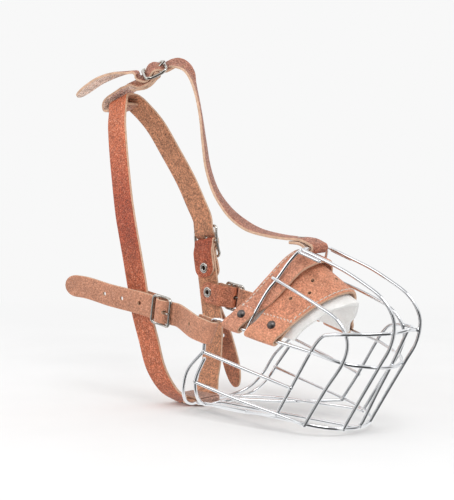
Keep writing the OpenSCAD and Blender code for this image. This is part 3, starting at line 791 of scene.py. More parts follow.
def make_welds():
    """A small fillet of metal at each place where two wires are welded."""
    lines = {node: fine_curve(keys, keys, 1.0)[0] for node, keys in WIRES.items()}
    parts = []
    for pair in record["behaviour"]["press_fits"]:
        first, second = pair[0], pair[1]
        if first not in lines or second not in lines:
            continue
        sides = [1, -1] if abs(lines[first][0].y + lines[first][-1].y) < 1 \
            and abs(lines[second][0].y + lines[second][-1].y) < 1 else [0]
        for side in sides:
            a_line = [p for p in lines[first] if side == 0 or p.y * side >= -0.5]
            b_line = [p for p in lines[second] if side == 0 or p.y * side >= -0.5]
            gap, a, b = closest(a_line, b_line)
            if a is None or gap > (2.2 * WIRE_R) ** 2:
                continue
            parts.append(bead((a + b) / 2, WIRE_R * 1.28, len(parts)))
    obj = make_piece("basket_welds", *merged(parts), materials=[CHROME])
    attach(obj, "basket")


def bead(centre, radius, seed):
    """A rough round bead of weld metal."""
    rings = []
    for k in range(1, 8):
        polar = math.pi * k / 8
        ring = []
        for s in range(14):
            a = 2 * math.pi * s / 14
            out = Vector((math.sin(polar) * math.cos(a), math.sin(polar) * math.sin(a),
                          math.cos(polar)))
            uneven = 1 + 0.12 * noise.noise(out * 1.6 + Vector((seed, 0, 0)))
            ring.append(centre + out * radius * uneven)
        rings.append(ring)
    return loft(rings, [0] * 14, 0)


make_wires()
make_welds()

# ---------- buckles ----------


class Place:
    """A buckle's own axes: x to the incoming strap, z along its bar, -y the outer side."""

    def __init__(self, origin, turns, flip=False):
        self.flip = flip
        self.origin = Vector((origin.x, -origin.y if flip else origin.y, origin.z))
        x, y, z = (math.radians(turn) for turn in turns)
        self.turn = (Matrix.Rotation(z, 3, "Z") @ Matrix.Rotation(y, 3, "Y")
                     @ Matrix.Rotation(x, 3, "X"))

    def at(self, x, y, z=0.0):
        return self.origin + self.turn @ Vector((x, y, z))

    def all(self, pairs):
        return [self.at(*pair) for pair in pairs]

    def way(self, x, y, z):
        return self.turn @ Vector((x, y, z))


RIGHT_CHEEK = Place(PIVOT["cheek_buckle_right_frame_swing"], (0, 9, 0))
LEFT_CHEEK = Place(PIVOT["cheek_buckle_left_frame_swing"], (0, 9, 0), True)
NECK_PLACE = Place(PIVOT["neck_buckle_prong_lift"], (0, -100, 0), True)
CROWN_PLACE = Place(PIVOT["crown_buckle_frame_swing"], (-63, -25, 44))

TOUCH_GAP = 0.15
CLAMP_GAP = 0.6
FOLD_R = BAR_R + TOUCH_GAP + STRAP_T / 2
OVER_Y = -(FOLD_R + STRAP_T + TOUCH_GAP)
LEAF_Y = 0.4 + STRAP_T + TOUCH_GAP
LEAF_SPLIT = STRAP_T + 0.5
CLAMP_SPLIT = 2 * (STRAP_T + CLAMP_GAP)
LEAF_OUTER = LEAF_Y - STRAP_T / 2
LEAF_INNER = LEAF_Y + LEAF_SPLIT + STRAP_T / 2
CLAMP_INNER = LEAF_Y + CLAMP_SPLIT + STRAP_T / 2


def weave(length):
    """The strap passes under the end rails of a buckle and over its bar."""
    return [(length / 2 + 8, 0.6), (length / 2, 0.4), (9, 0.2), (6.6, -1.4), (4.4, -3.6),
            (2, OVER_Y + 0.1), (0, OVER_Y), (-2, OVER_Y + 0.1), (-4.4, -3.6), (-6.6, -1.4),
            (-9, 0.2), (-length / 2, 0.4)]


AROUND_BAR = [(FOLD_R * math.cos(math.radians(a)), FOLD_R * math.sin(math.radians(a)))
              for a in range(90, -151, -30)] + [(-3.4, 0.5), (-5.8, 2.4), (-8.4, LEAF_Y)]


def tab_wrap(back):
    """Both leaves of a tab lie together behind the bar."""
    return [(-back, LEAF_Y + LEAF_SPLIT), (-12, LEAF_Y + LEAF_SPLIT), (-7, 5), (-3, 3.2)] \
        + AROUND_BAR + [(-12, LEAF_Y), (-back, LEAF_Y)]


def clamp_wrap(back):
    """The leaves of a tab stand apart, with another strap between them."""
    far = LEAF_Y + CLAMP_SPLIT
    return [(-back, far), (-12, far), (-8.2, far - 0.3), (-4.4, 5.7), (-2, 3.5)] \
        + AROUND_BAR + [(-12, LEAF_Y), (-back, LEAF_Y)]


def make_frame(name, place, width, length, node):
    """A rectangular frame of round rod with arched sides, and a bar across its middle."""
    half_l = length / 2 - ROD_R
    half_w = width / 2 + SIDE_GAP + ROD_R
    corner = 3.4

    def arched(x):
        return -FRAME_ARCH * abs(x) / half_l

    quarter = []
    for a in range(0, 91, 15):
        x = half_l - corner + corner * math.cos(math.radians(a))
        z = half_w - corner + corner * math.sin(math.radians(a))
        quarter.append((x, z))
    quarter = [(half_l, 0.0), (half_l, half_w * 0.5)] + quarter + [(half_l * 0.4, half_w)]
    loop = quarter + [(-x, z) for x, z in quarter[::-1]]
    loop += [(-x, -z) for x, z in quarter[1:]] + [(x, -z) for x, z in quarter[::-1][:-1]]
    keys = [place.at(x, arched(x), z) for x, z in loop]
    rod = tube_loft(keys, ROD_R, 14, closed=True)
    bar = tube_loft([place.at(0, 0, z) for z in (-half_w, 0, half_w)], BAR_R, 16)
    obj = make_piece(name, *merged([rod, bar]), materials=[BUCKLE], flip=place.flip)
    stand_for(obj, node)


def make_prong(name, place, length, node):
    """A ring round the bar and a tapered tongue that rests on the front rail."""
    rest_x = length / 2 - ROD_R
    rest_y = -FRAME_ARCH - ROD_R - PRONG_R - 0.3
    reach = math.hypot(rest_x, rest_y) + 1.5
    way = Vector((rest_x, rest_y)).normalized()
    bow = Vector((way.y, -way.x)) * 0.35
    keys = []
    for share in (0.12, 0.35, 0.6, 0.85, 1.0):
        spot = way * reach * share + bow * math.sin(math.pi * share)
        keys.append(place.at(spot.x, spot.y))
    tongue = tube_loft(keys, PRONG_R, 14, taper=lambda s: 1.0 - 0.28 * s * s)
    inner, outer, half, soft = BAR_R + 0.05, BAR_R + 1.05, 1.6, 0.35
    outline = [(inner, -half), (outer - soft, -half), (outer, -half + soft),
               (outer, half - soft), (outer - soft, half), (inner, half)]
    ring = ring_lathe(outline, place.at(0, 0), place.way(0, 0, 1), 32)
    obj = make_piece(name, *merged([tongue, ring]), materials=[BUCKLE], flip=place.flip)
    stand_for(obj, node)


def make_eyelet(name, place, x, y_from, y_to, node):
    """A tubular rivet with rolled flanges on both faces."""
    hole, flange, tube = 2.0, 5.0, 2.8
    outline = [(hole, y_from + 0.3), (hole + 0.25, y_from - 0.45), (hole + 0.8, y_from - 0.72),
               (flange - 0.9, y_from - 0.62), (flange - 0.15, y_from - 0.3), (flange, y_from),
               (tube, y_from), (tube, y_to), (flange, y_to), (flange - 0.15, y_to + 0.3),
               (flange - 0.9, y_to + 0.62), (hole + 0.8, y_to + 0.72),
               (hole + 0.25, y_to + 0.45), (hole, y_to - 0.3)]
    made = ring_lathe(outline, place.at(x, 0), place.way(0, 1, 0))
    obj = make_piece(name, *made, materials=[NICKEL], flip=place.flip, sharp=60)
    stand_for(obj, node)


for side, place in (("right", RIGHT_CHEEK), ("left", LEFT_CHEEK)):
    node = "cheek_buckle_" + side
    make_frame(node + "_rod", place, STRAP_W, FRAME_L, node + "_frame")
    make_prong(node + "_tongue", place, FRAME_L, node + "_prong")
make_frame("crown_buckle_rod", CROWN_PLACE, STRAP_W, FRAME_L, "crown_buckle_frame")
make_prong("crown_buckle_tongue", CROWN_PLACE, FRAME_L, "crown_buckle_prong")
make_frame("neck_buckle_rod", NECK_PLACE, NECK_W, NECK_FRAME_L, "neck_buckle_frame")
make_prong("neck_buckle_tongue", NECK_PLACE, NECK_FRAME_L, "neck_buckle_prong")

TAB_MARGIN = 8.0
RIGHT_TAB_BACK = 46.0
LEFT_TAB_BACK = 31.0
NECK_RIVET_X = -24.0
make_eyelet("neck_tube_rivet", NECK_PLACE, NECK_RIVET_X, LEAF_OUTER - TOUCH_GAP,
            LEAF_INNER + TOUCH_GAP, "neck_rivet")
make_eyelet("cheek_tube_rivet_right", RIGHT_CHEEK, TAB_MARGIN - RIGHT_TAB_BACK,
            LEAF_OUTER - TOUCH_GAP, CLAMP_INNER + TOUCH_GAP, "cheek_rivet_right")
make_eyelet("cheek_tube_rivet_left", LEFT_CHEEK, TAB_MARGIN - LEFT_TAB_BACK,
            LEAF_OUTER - TOUCH_GAP, CLAMP_INNER + TOUCH_GAP, "cheek_rivet_left")

# ---------- harness ----------

TUBE_R = 2.9
PRONG_HOLE_R = 1.9
TAIL_HOLE_R = 2.1
SLOT_R = 2.3
PRONG_HOLE_X = 5.5


def bore(place, x, y_from, y_to, radius):
    """A hole straight through the leather at x along a buckle's place."""
    return place.at(x, y_from), place.at(x, y_to), radius


def prong_slot(place):
    """Holes in a row that leave a slot in a fold for the prong's ring."""
    reach = FOLD_R + STRAP_T
    return [(place.at(-0.5, 0), place.at(reach + 1, 0), SLOT_R),
            (place.at(0, -reach - 1), place.at(0, 0), SLOT_R),
            (place.at(1.6, -reach), place.at(0.2, 0), SLOT_R)]


def tail_hole(strap, distance):
    """A hole through a strap at a distance along it."""
    low = strap.at(distance, 0, -4)[0]
    high = strap.at(distance, 0, 4)[0]
    return low, high, TAIL_HOLE_R


NECK_ROUND = points(
    (-58.3, -46.05, 88), (-56.6, -46.05, 77), (-51.5, -43.3, 58), (-47, -36.5, 32),
    (-42, -26, 12), (-34.5, -15, 2), (-33, -12, FLOOR_Z), (-33, 0, FLOOR_Z),
    (-33, 12, FLOOR_Z), (-34.5, 15, 2), (-42, 26, 12), (-46.5, 36.5, 32), (-49.5, 42.5, 58),
    (-54.5, 45.5, 80), (-57.6, 45.55, 92), (-60.5, 45.8, 106), (-64, 47.4, 128),
    (-71.3, 47, 155), (-80.5, 42.8, 175), (-90, 37.6, 199), (-100, 31.7, 225),
    (-110, 24.5, 250), (-120, 14, 267), (-126, 7.5, 273.8), (-128.5, 0, 275.8),
    (-126, -7.5, 273.8), (-120, -14, 267), (-110, -24.5, 250), (-98.5, -33.5, 225),
    (-87, -42, 199), (-77, -46.3, 176))


def neck_across(p):
    return Vector((1, 0, 0.3 * min(1.0, max(0.0, p.z) / 60)))


def make_neck_strap():
    level = NECK_PLACE.way(0, 0, -1)
    start = NECK_PLACE.all(tab_wrap(33))
    end = NECK_PLACE.all(weave(NECK_FRAME_L) + [(-19, -0.4), (-24, -0.8), (-29, -1.1), (-35, -1.5)])
    across = [level] * len(start) + [neck_across(p) for p in NECK_ROUND] + [level] * len(end)
    strap = Strap(start + NECK_ROUND + end, across, NECK_W, STRAP_T, (ROUND_TIP, ROUND_TIP))
    obj = strap.piece("neck_strap_leather", NECK, flip=True)
    holes = prong_slot(NECK_PLACE)
    holes.append(bore(NECK_PLACE, PRONG_HOLE_X, -8, 1.5, PRONG_HOLE_R))
    holes.append(bore(NECK_PLACE, NECK_RIVET_X, LEAF_OUTER - 0.5, LEAF_INNER + 2, TUBE_R))
    holes.append(bore(LEFT_CHEEK, TAB_MARGIN - LEFT_TAB_BACK, LEAF_OUTER, CLAMP_INNER + 2, TUBE_R))
    right = bore(RIGHT_CHEEK, TAB_MARGIN - RIGHT_TAB_BACK, LEAF_OUTER, CLAMP_INNER + 2, TUBE_R)
    holes.append((mirror([right[0]])[0], mirror([right[1]])[0], TUBE_R))
    punch(obj, holes, flip=True)
    stand_for(obj, "neck_strap")


def make_cheek_tab(name, place, back, node):
    keys = place.all(clamp_wrap(back))
    across = [place.way(0, 0, 1)] * len(keys)
    strap = Strap(keys, across, STRAP_W, STRAP_T, (ROUND_TIP, ROUND_TIP), grain=-1)
    obj = strap.piece(name, TAB, flip=place.flip)
    punch(obj, prong_slot(place) + [
        bore(place, TAB_MARGIN - back, LEAF_OUTER - 0.5, CLAMP_INNER + 2, TUBE_R)], place.flip)
    stand_for(obj, node)


EAR_HOOK = points(
    (22, -52.4, 77.5), (32, -52.6, 75.5), (38, -52.9, 74.3), (41.4, -53.9, 73.6),
    (43.4, -57, 73.2), (41.2, -60, 73.5), (36, -61, 74.6), (24, -60.4, 77.4))
RIGHT_TAIL = points((-38, -52.4, 89.2), (-56, -54.5, 92), (-84, -57, 95.5), (-114, -59, 100.4),
                    (-142, -59.8, 101.3))
LEFT_TAIL = points(
    (-52, -52.8, 91.3), (-61, -54.5, 88), (-65, -57.5, 79), (-61.5, -58.5, 67),
    (-54.5, -57.5, 56), (-48, -56.5, 45), (-41, -56, 28), (-34, -55, 10), (-31.5, -54.5, 4))
HANGING = (-0.94, 0, -0.34)
RIGHT_TWIST = points((0.13, 0, 0.99)) * len(RIGHT_TAIL)
LEFT_TWIST = points((0.1, 0, 0.99), (-0.3, 0, 0.95), (-0.8, 0, 0.6), (-1, 0, 0.1),
                    (-0.98, 0, -0.2), (-0.95, 0, -0.3), HANGING, HANGING, HANGING)
HOLE_PITCH = 21.3


def make_cheek_strap(name, place, tail, twist, materials, node):
    level = place.way(0, 0, 1)
    level_part = place.all(weave(FRAME_L))
    across = points((0.45, 0, 0.89)) * len(EAR_HOOK) + [level] * len(level_part) + twist
    strap = Strap(EAR_HOOK + level_part + tail, across, STRAP_W, STRAP_T,
                  (SQUARE_TIP, LONG_TIP if place.flip else POINT_TIP), grain=-1)
    obj = strap.piece(name, materials, flip=place.flip)
    bar = strap.nearest(place.at(0, OVER_Y))
    holes = [tail_hole(strap, bar + 29 + HOLE_PITCH * k) for k in range(3)]
    holes += [tail_hole(strap, bar - 45)]
    holes.append(bore(place, PRONG_HOLE_X, -8, 1.5, PRONG_HOLE_R))
    punch(obj, holes, place.flip)
    stand_for(obj, node)
    obj.parent = None
    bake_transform(obj)


BAR_X = 106.5
LOOP_R = WIRE_R + STRAP_T / 2 + 0.5
FOREHEAD_LOOP = points(
    (84, 0, CROSSBAR_Z + 4.2), (94, 0, CROSSBAR_Z + 3.8), (99.5, 0, CROSSBAR_Z + 1.8),
    (103.4, 0, CROSSBAR_Z - 1.9)) + bend(BAR_X, CROSSBAR_Z + 0.4, LOOP_R, -90, 90, 45) + points(
    (100, 0, CROSSBAR_Z + 6.1), (92, 0, CROSSBAR_Z + 7.1), (80, 0, CROSSBAR_Z + 7.4))
FOREHEAD_RISE = points(
    (60, 0, 152), (38, 0, 156), (20, 0, 164), (5, 0, 175), (-8, 0, 190), (-17, 0, 210),
    (-21.5, 0, 232), (-26.5, 1, 255), (-34, 3, 275), (-45, 7, 290.5), (-57.5, 11, 300.5))
RISE_ACROSS = points(
    (0, 1, 0), (-0.05, 1, 0), (-0.2, 0.95, 0), (-0.4, 0.9, 0), (-0.5, 0.85, 0),
    (-0.55, 0.83, 0), (-0.6, 0.8, 0.05), (-0.65, 0.74, 0.1), (-0.66, 0.7, 0.2),
    (-0.65, 0.66, 0.3), (-0.63, 0.62, 0.4))
CROWN_TAIL = points((-101, -12.5, 297.8), (-118, -17, 297), (-138, -23.5, 290.5),
                    (-158, -31, 277.3))
CROWN_TWIST = points((-0.755, 0.53, 0.38), (-0.74, 0.6, 0.2), (-0.7, 0.68, -0.05),
                     (-0.66, 0.7, -0.2), (-0.66, 0.7, -0.25))


def make_forehead_strap():
    level = CROWN_PLACE.way(0, 0, 1)
    level_part = CROWN_PLACE.all(weave(FRAME_L))
    tail = [CROWN_PLACE.at(-15.5, -1.8, 2)] + CROWN_TAIL
    across = points((0, 1, 0)) * len(FOREHEAD_LOOP) + RISE_ACROSS \
        + [level] * len(level_part) + CROWN_TWIST
    strap = Strap(FOREHEAD_LOOP + FOREHEAD_RISE + level_part + tail, across, STRAP_W, STRAP_T,
                  (SQUARE_TIP, POINT_TIP), grain=-1)
    obj = strap.piece("forehead_strap_leather", FOREHEAD)
    bar = strap.nearest(CROWN_PLACE.at(0, OVER_Y))
    holes = [tail_hole(strap, bar + 27 + HOLE_PITCH * k) for k in range(2)]
    holes += [tail_hole(strap, bar - 36 - HOLE_PITCH * k) for k in range(3)]
    holes.append(bore(CROWN_PLACE, PRONG_HOLE_X, -8, 1.5, PRONG_HOLE_R))
    punch(obj, holes)
    stand_for(obj, "forehead_strap")
    obj.parent = None
    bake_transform(obj)


CROWN_LOOP = points(
    (-119, 0, 285.2), (-131, 0, 280.4), (-141, 0, 276.4), (-146, 0, 272.6), (-147, 0, 268),
    (-143.6, 0, 264.2), (-129, 0, 266), (-117, 0, 270.2))


def make_crown_tab():
    level = CROWN_PLACE.way(0, 0, 1)
    half = 0.5 * level + Vector((0, 0.5, 0))
    bar_part = CROWN_PLACE.all(AROUND_BAR)
    keys = points((-107, -2, 285.3)) + CROWN_PLACE.all([(-9, 5.6), (-4, 3.7)]) + bar_part \
        + [CROWN_PLACE.at(-12.5, LEAF_Y + 0.5), Vector((-108, -3, 290.4))] + CROWN_LOOP
    across = [half, level, level] + [level] * len(bar_part) + [level, half] \
        + points((0, 1, 0)) * len(CROWN_LOOP)
    strap = Strap(keys, across, STRAP_W, STRAP_T, grain=-1)
    obj = strap.piece("crown_tab_leather", CROWN)
    punch(obj, prong_slot(CROWN_PLACE))
    stand_for(obj, "crown_tab")


def make_keeper():
    """A flat leather loop round the rear hoop and the neck strap."""
    low, high = (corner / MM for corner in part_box("chin_keeper"))
    thick = 1.8
    r = (high.z - low.z) / 2 - thick / 2
    rear, front = low.x + r + thick / 2, high.x - r - thick / 2
    middle = (low.z + high.z) / 2
    keys = points((front - 8, 0, middle - r - 0.02), (front, 0, middle - r))
    keys += bend(front, middle, r, -60, 60, 30)
    keys += points((front, 0, middle + r), (rear, 0, middle + r))
    keys += bend(rear, middle, r, 120, 240, 30)
    keys += points((rear, 0, middle - r), (front - 9, 0, middle - r))
    across = points((0, -1, 0)) * len(keys)
    strap = Strap(keys, across, high.y - low.y, thick, grain=1)
    stand_for(strap.piece("chin_keeper_leather", KEEPER), "chin_keeper")


make_neck_strap()
make_cheek_tab("cheek_tab_right_leather", RIGHT_CHEEK, RIGHT_TAB_BACK, "cheek_tab_right")
make_cheek_tab("cheek_tab_left_leather", LEFT_CHEEK, LEFT_TAB_BACK, "cheek_tab_left")
make_cheek_strap("cheek_strap_right_leather", RIGHT_CHEEK, RIGHT_TAIL, RIGHT_TWIST, CHEEK,
                 "cheek_strap_right")
make_cheek_strap("cheek_strap_left_leather", LEFT_CHEEK, LEFT_TAIL, LEFT_TWIST, FAR_CHEEK_SHADED_COPY,
                 "cheek_strap_left")
make_forehead_strap()
make_crown_tab()
make_keeper()

# ---------- nose pad ----------

TAB_UP = Vector((0.5, 0.47, 0.73)).normalized()
TAB_OUT = Vector((0.26, -0.82, 0.45)).normalized()
TAB_GAP = WIRE_R + PAD_T / 2 + 0.8
LEAF_GAP = PAD_T / 2 + 0.15
TAB_RISE = 15.0


def tab_fold(*corner):
    """Leather folded round the upper ring: up the inside, round the wire, up the outside."""
    c = Vector(corner)
    side = TAB_OUT * TAB_GAP
    down = TAB_UP * TAB_GAP
    return [c - TAB_OUT * LEAF_GAP + TAB_UP * TAB_RISE,
            c - TAB_OUT * (LEAF_GAP + 0.5) + TAB_UP * 8, c - side + TAB_UP * 1.5,
            c - side * 0.75 - down * 0.7, c - down - TAB_UP * 0.1,
            c + side * 0.75 - down * 0.7, c + side + TAB_UP * 1.5,
            c + TAB_OUT * (LEAF_GAP + 0.5) + TAB_UP * 8,
            c + TAB_OUT * LEAF_GAP + TAB_UP * TAB_RISE]


BAND_REAR = both_sides(tab_fold(55, -54.2, 83) + points(
    (65.5, -43.4, 99.3), (69, -37.5, 105.5), (76, -28, 118), (83.5, -16, 132.4),
    (88, -7, 139.4), (89, 0, 140.6)))
BAND_FRONT = both_sides(tab_fold(71, -52.1, 78.9) + points(
    (80.2, -40.6, 92.4), (86.8, -36, 97.8), (98, -29.5, 111.5), (107, -20.5, 125),
    (114, -9.5, 131.6), (116, 0, 133)))
PANEL_REAR = both_sides(tab_fold(77.3, -51.3, 77.3) + points(
    (84, -35, 95.5), (89, -26.5, 109.5), (99, -16.4, 123.6), (103, -7.6, 130.4), (105, 0, 132)))
PANEL_FRONT = both_sides(tab_fold(105, -47.8, 71.3) + points(
    (120, -33, 92), (128, -25, 100), (136, -13, 106.5), (139, -6, 108.5), (140, 0, 109)))
FELT_REAR = both_sides(points(
    (57.6, -43.9, 81.3), (61, -38.8, 89.2), (67, -31.6, 100.3), (74, -22.5, 113),
    (81, -12, 125.8), (85.4, -5.6, 132.9), (86.4, 0, 133.8)))
FELT_FRONT = both_sides(points(
    (112.8, -36.8, 71.4), (117.6, -32.2, 78.6), (125.4, -27.6, 85.4), (133.2, -19.8, 92.6),
    (141, -10.8, 98.2), (144.8, -5.2, 100.2), (145.8, 0, 100.6)))


class Sheet(Strap):
    """A leather sheet between a rear curve and a front curve, its grain side outward."""

    def __init__(self, rear, front, thick, step=0.7):
        rear_line, front_line = fine_pair(rear, front, step)
        middle = [(a + b) / 2 for a, b in zip(rear_line, front_line)]
        kept = thin_out(middle, 1.8, 0.45, 0.2)
        run = distances(middle)
        self.thick = thick
        self.centre = [middle[k] for k in kept]
        self.run = [run[k] for k in kept]
        self.along = [(tangent(rear_line, k) + tangent(front_line, k)).normalized() for k in kept]
        self.wide = [(rear_line[k] - front_line[k]).normalized() for k in kept]
        self.normal = [t.cross(w).normalized() for t, w in zip(self.along, self.wide)]
        self.halves = [(rear_line[k] - front_line[k]).length / 2 for k in kept]
        self.half = max(self.halves)


def fine_pair(rear, front, step):
    """Matching dense points on two curves with equal numbers of keys."""
    rear_line, front_line = [], []
    for i in range(len(rear) - 1):
        longest = max((rear[i + 1] - rear[i]).length, (front[i + 1] - front[i]).length)
        count = max(3, math.ceil(longest / step))
        for j in range(count):
            rear_line.append(spline(rear, i, j / count))
            front_line.append(spline(front, i, j / count))
    return rear_line + [rear[-1].copy()], front_line + [front[-1].copy()]


THREAD_R = 0.42
THREAD_LIFT = 0.12
CROSS_ROW = 46.0
STITCH_INSET = 2.5
AIR_HOLE_R = 1.6


def stitch_row(strap, start, end, inset, edge, pitch=4.3, length=2.9):
    """Stitches of thread along one edge of a strap's grain side."""
    made = []
    place = start
    while place < end:
        k = min(range(len(strap.run)), key=lambda i: abs(strap.run[i] - place))
        offset = edge * (strap.halves[k] - inset)
        spot, along, _, normal = strap.at(place, offset, strap.thick / 2 + THREAD_LIFT)
        lean = along * length / 2
        keys = [spot - lean - normal * 0.35, spot - lean * 0.5 + normal * 0.12,
                spot + normal * 0.2, spot + lean * 0.5 + normal * 0.12,
                spot + lean - normal * 0.35]
        made.append(tube_loft(keys, THREAD_R, 7, steps=0.5))
        place += pitch
    return made


def make_pad():
    band = Sheet(BAND_REAR, BAND_FRONT, PAD_T)
    stand_for(band.piece("nose_band_leather", PAD_BAND, crown=0.5), "nose_pad_band")
    panel = Sheet(PANEL_REAR, PANEL_FRONT, PAD_T)
    obj = panel.piece("nose_panel_leather", PANEL, crown=0.25)
    middle = panel.run[-1] / 2
    holes = []
    for k, place in enumerate((-38, -27, -16, 0, 16, 27, 38)):
        spot, _, _, normal = panel.at(middle + place, -4.5 if k % 2 else 4.0)
        holes.append((spot - normal * 4, spot + normal * 4, AIR_HOLE_R))
    punch(obj, holes)
    stand_for(obj, "nose_pad_leather")
    stitches = []
    for sheet, edge in ((band, 1), (panel, -1)):
        last = sheet.run[-1]
        stitches += stitch_row(sheet, CROSS_ROW, last - CROSS_ROW, STITCH_INSET, edge)
        for place in (CROSS_ROW, last - CROSS_ROW):
            stitches += cross_row(sheet, place)
    rows = make_piece("nose_pad_stitches", *merged(stitches), materials=[THREAD])
    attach(rows, "basket")


def cross_row(sheet, place, inset=STITCH_INSET, pitch=3.4):
    """A row of slanted stitches that runs across a sheet."""
    made = []
    k = min(range(len(sheet.run)), key=lambda i: abs(sheet.run[i] - place))
    reach = sheet.halves[k] - inset
    count = max(2, round(2 * reach / pitch))
    for s in range(count + 1):
        offset = reach * (2 * s / count - 1)
        spot, way, wide, normal = sheet.at(place, offset, PAD_T / 2 + THREAD_LIFT)
        lean = (wide + way * 0.55).normalized() * 1.35
        keys = [spot - lean - normal * 0.35, spot + normal * 0.2, spot + lean - normal * 0.35]
        made.append(tube_loft(keys, THREAD_R, 7, steps=0.5))
    return made


def make_felt():
    """The felt lining swells a little by cloth simulation, and stays near its CAD place."""
    felt = Sheet(FELT_REAR, FELT_FRONT, FELT_T * 0.8, step=2.0)
    rings = felt.rings(0.3)
    rings = rings[::2] if len(rings) % 2 else rings[::2] + [rings[-1]]
    made = loft(rings, [0] * len(rings[0]), 0)
    obj = make_piece("nose_felt_lining", *made, materials=[FELT], sharp=60)
    roughen(obj, 0.25, 0.25)
    puff(obj, 3.0, 1.2)
    stand_for(obj, "nose_pad_felt")


def roughen(obj, amount, scale):
    """Moves points along their normals by smooth noise, in millimetres."""
    for vertex in obj.data.vertices:
        spot = vertex.co / MM * scale
        vertex.co += vertex.normal * noise.noise(spot) * amount * MM


def puff(obj, pressure, cap):
    """Inflates a closed sheet by cloth simulation; no point travels further than the cap."""
    rest = [vertex.co.copy() for vertex in obj.data.vertices]
    cloth = obj.modifiers.new("cloth", "CLOTH")
    cloth.settings.quality = 5
    cloth.settings.use_pressure = True
    cloth.settings.uniform_pressure_force = pressure
    cloth.settings.effector_weights.gravity = 0.0
    scene = bpy.context.scene
    for step in range(1, 13):
        scene.frame_set(step)
    depsgraph = bpy.context.evaluated_depsgraph_get()
    swollen = [vertex.co.copy() for vertex in obj.evaluated_get(depsgraph).data.vertices]
    obj.modifiers.clear()
    scene.frame_set(1)
    for vertex, start, end in zip(obj.data.vertices, rest, swollen):
        travel = end - start
        limit = cap * MM
        if travel.length > limit:
            travel *= limit / travel.length
        vertex.co = start + travel


def make_domes():
    rise, r, stack = 2.8, 4.0, LEAF_GAP + PAD_T / 2
    sphere = (r * r + rise * rise) / (2 * rise)
    profile = [(0.15, -stack - 0.8), (r - 0.9, -stack - 0.75), (r - 0.6, -stack - 0.4),
               (r - 0.6, -stack), (1.6, -stack), (1.6, stack), (r - 0.1, stack)]
    low = math.acos((sphere - rise) / sphere)
    for k in range(9):
        a = low * (1 - k / 8.3)
        profile.append((sphere * math.sin(a), stack + rise - sphere + sphere * math.cos(a)))
    parts = []
    for corner in ((63, -53.2, 81), (92, -49.4, 74.2)):
        spot = Vector(corner) + TAB_UP * 11
        parts.append(lathe(profile, spot, TAB_OUT))
        parts.append(lathe(profile, mirror([spot])[0], mirror([TAB_OUT])[0]))
    stand_for(make_piece("pad_dome_rivets", *merged(parts), materials=[DOME], sharp=50),
              "pad_rivets")


def make_forehead_rivet():
    low, high = (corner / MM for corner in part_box("forehead_rivet"))
    x, y = (low.x + high.x) / 2, (low.y + high.y) / 2
    r, t = (high.x - low.x) / 2, 0.7
    profile = [(0.1, low.z), (r - 0.5, low.z), (r, low.z + t * 0.6), (r, low.z + t), (1.2, low.z + t),
               (1.2, high.z - t), (r, high.z - t), (r, high.z - t * 0.6), (r - 0.5, high.z - 0.1),
               (0.1, high.z)]
    made = lathe(profile, Vector((x, y, 0)), Vector((0, 0, 1)))
    stand_for(make_piece("forehead_rivet_cap", *made, materials=[NICKEL], sharp=50),
              "forehead_rivet")


make_pad()
make_felt()
make_domes()
make_forehead_rivet()

# ---------- studio ----------

AZIMUTH, ELEVATION = math.radians(43), math.radians(3.6)
VIEW_BACK = Vector((math.sin(AZIMUTH) * math.cos(ELEVATION),
                    -math.cos(AZIMUTH) * math.cos(ELEVATION), math.sin(ELEVATION)))
VIEW_RIGHT = Vector((math.cos(AZIMUTH), math.sin(AZIMUTH), 0))
CAMERA_AIM = Vector((0.0063, 0, 0.1373))
CAMERA_DISTANCE = 1.0
PAPER_WHITE = srgb(248, 248, 248)


def make_floor():
    size = 12.0
    mesh = bpy.data.meshes.new("floor")
    z = cad_low.z - 0.0004
    mesh.from_pydata([(-size, -size, z), (size, -size, z), (size, size, z), (-size, size, z)],
                     [], [(0, 1, 2, 3)])
    m = Material("floor_paper")
    tone = m.ramp(m.noise(9, 3, 0.5), (0.3, srgb(238, 238, 238)), (0.7, srgb(241, 241, 241)))
    m.bump(m.noise(400, 3, 0.6), 0.05, 0.0005)
    m.set(Base_Color=tone, Roughness=0.9, Specular_IOR_Level=0.1)
    # far from the object the paper runs into the backdrop without a horizon
    far = m.node("ShaderNodeVectorMath", {0: m.where.outputs["Object"]}, operation="LENGTH")
    fade = m.ramp(far.outputs["Value"], (0.32, 0.0), (0.95, 1.0))
    glow = m.node("ShaderNodeEmission", {"Color": PAPER_WHITE})
    both = m.node("ShaderNodeMixShader", {
        0: fade, 1: m.shader.outputs[0], 2: glow.outputs[0]})
    m.feed(m.tree.nodes["Material Output"], "Surface", both.outputs[0])
    mesh.materials.append(m.material)
    floor = bpy.data.objects.new("floor", mesh)
    floor.visible_glossy = False
    bpy.context.scene.collection.objects.link(floor)


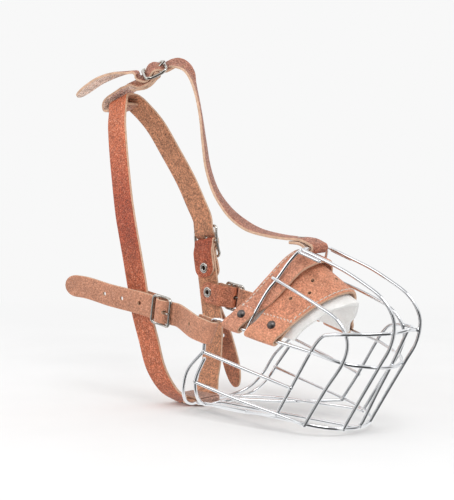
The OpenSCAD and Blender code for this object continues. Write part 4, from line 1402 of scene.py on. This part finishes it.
def make_world():
    """White for the camera and for soft light; reflections see a dark room behind the camera,
    with a panel above it and one at each side."""
    world = bpy.data.worlds.new("studio")
    bpy.context.scene.world = world
    world.use_nodes = True
    m = Material.__new__(Material)  # the node calls only, on the world's own tree
    m.tree = world.node_tree
    m.tree.nodes.clear()
    out = m.node("ShaderNodeOutputWorld")
    way = m.node("ShaderNodeTexCoord").outputs["Generated"]
    soft = m.node("ShaderNodeBackground", {"Color": (1, 1, 1, 1), "Strength": 0.93})
    seen = m.node("ShaderNodeBackground", {"Color": PAPER_WHITE})

    def toward(direction):
        return m.node("ShaderNodeVectorMath", {0: way, 1: tuple(direction)},
                      operation="DOT_PRODUCT").outputs["Value"]

    front = m.math("MULTIPLY_ADD", toward(VIEW_BACK), 0.5, 0.5)
    room = m.ramp(front, (0.0, 0.93), (0.40, 0.85), (0.49, 0.35), (0.56, 0.10), (1.0, 0.06))
    up = m.ramp(m.math("MULTIPLY_ADD", toward((0, 0, 1)), 0.5, 0.5),
                (0.74, 0.0), (0.79, 1.0), (0.94, 1.0), (0.97, 0.3))
    sideways = m.math("ABSOLUTE", toward(VIEW_RIGHT))
    panels = m.ramp(sideways, (0.60, 0.0), (0.65, 1.0), (0.81, 1.0), (0.86, 0.2))
    light = m.math("MAXIMUM", room, m.math("MAXIMUM", up, panels))
    mirrored = m.node("ShaderNodeBackground", {"Color": light, "Strength": 1.1})
    path = m.node("ShaderNodeLightPath")
    first = m.node("ShaderNodeMixShader", {
        0: path.outputs["Is Glossy Ray"], 1: soft.outputs[0], 2: mirrored.outputs[0]})
    second = m.node("ShaderNodeMixShader", {
        0: path.outputs["Is Camera Ray"], 1: first.outputs[0], 2: seen.outputs[0]})
    m.feed(out, "Surface", second.outputs[0])


def area_light(name, spot, aim, size, power):
    """A soft round lamp at a spot, turned to an aim."""
    data = bpy.data.lights.new(name, "AREA")
    data.shape = "DISK"
    data.size = size
    data.energy = power
    light = bpy.data.objects.new(name, data)
    light.location = spot
    light.rotation_mode = "QUATERNION"
    light.rotation_quaternion = (Vector(aim) - Vector(spot)).to_track_quat("-Z", "Y")
    bpy.context.scene.collection.objects.link(light)


def make_camera():
    data = bpy.data.cameras.new("camera")
    data.sensor_fit = "AUTO"
    data.sensor_width = 24.0
    data.lens = 54.72
    camera = bpy.data.objects.new("camera", data)
    camera.location = CAMERA_AIM + VIEW_BACK * CAMERA_DISTANCE
    camera.rotation_mode = "QUATERNION"
    camera.rotation_quaternion = (-VIEW_BACK).to_track_quat("-Z", "Y")
    bpy.context.scene.collection.objects.link(camera)
    bpy.context.scene.camera = camera


make_floor()
make_world()
area_light("key", (0.9, -0.6, 1.5), (0, 0, 0.1), 0.7, 7.5)
area_light("fill", (-0.6, -1.3, 0.8), (0, 0, 0.15), 0.9, 3.5)
make_camera()
bpy.context.scene.view_settings.view_transform = "Standard"
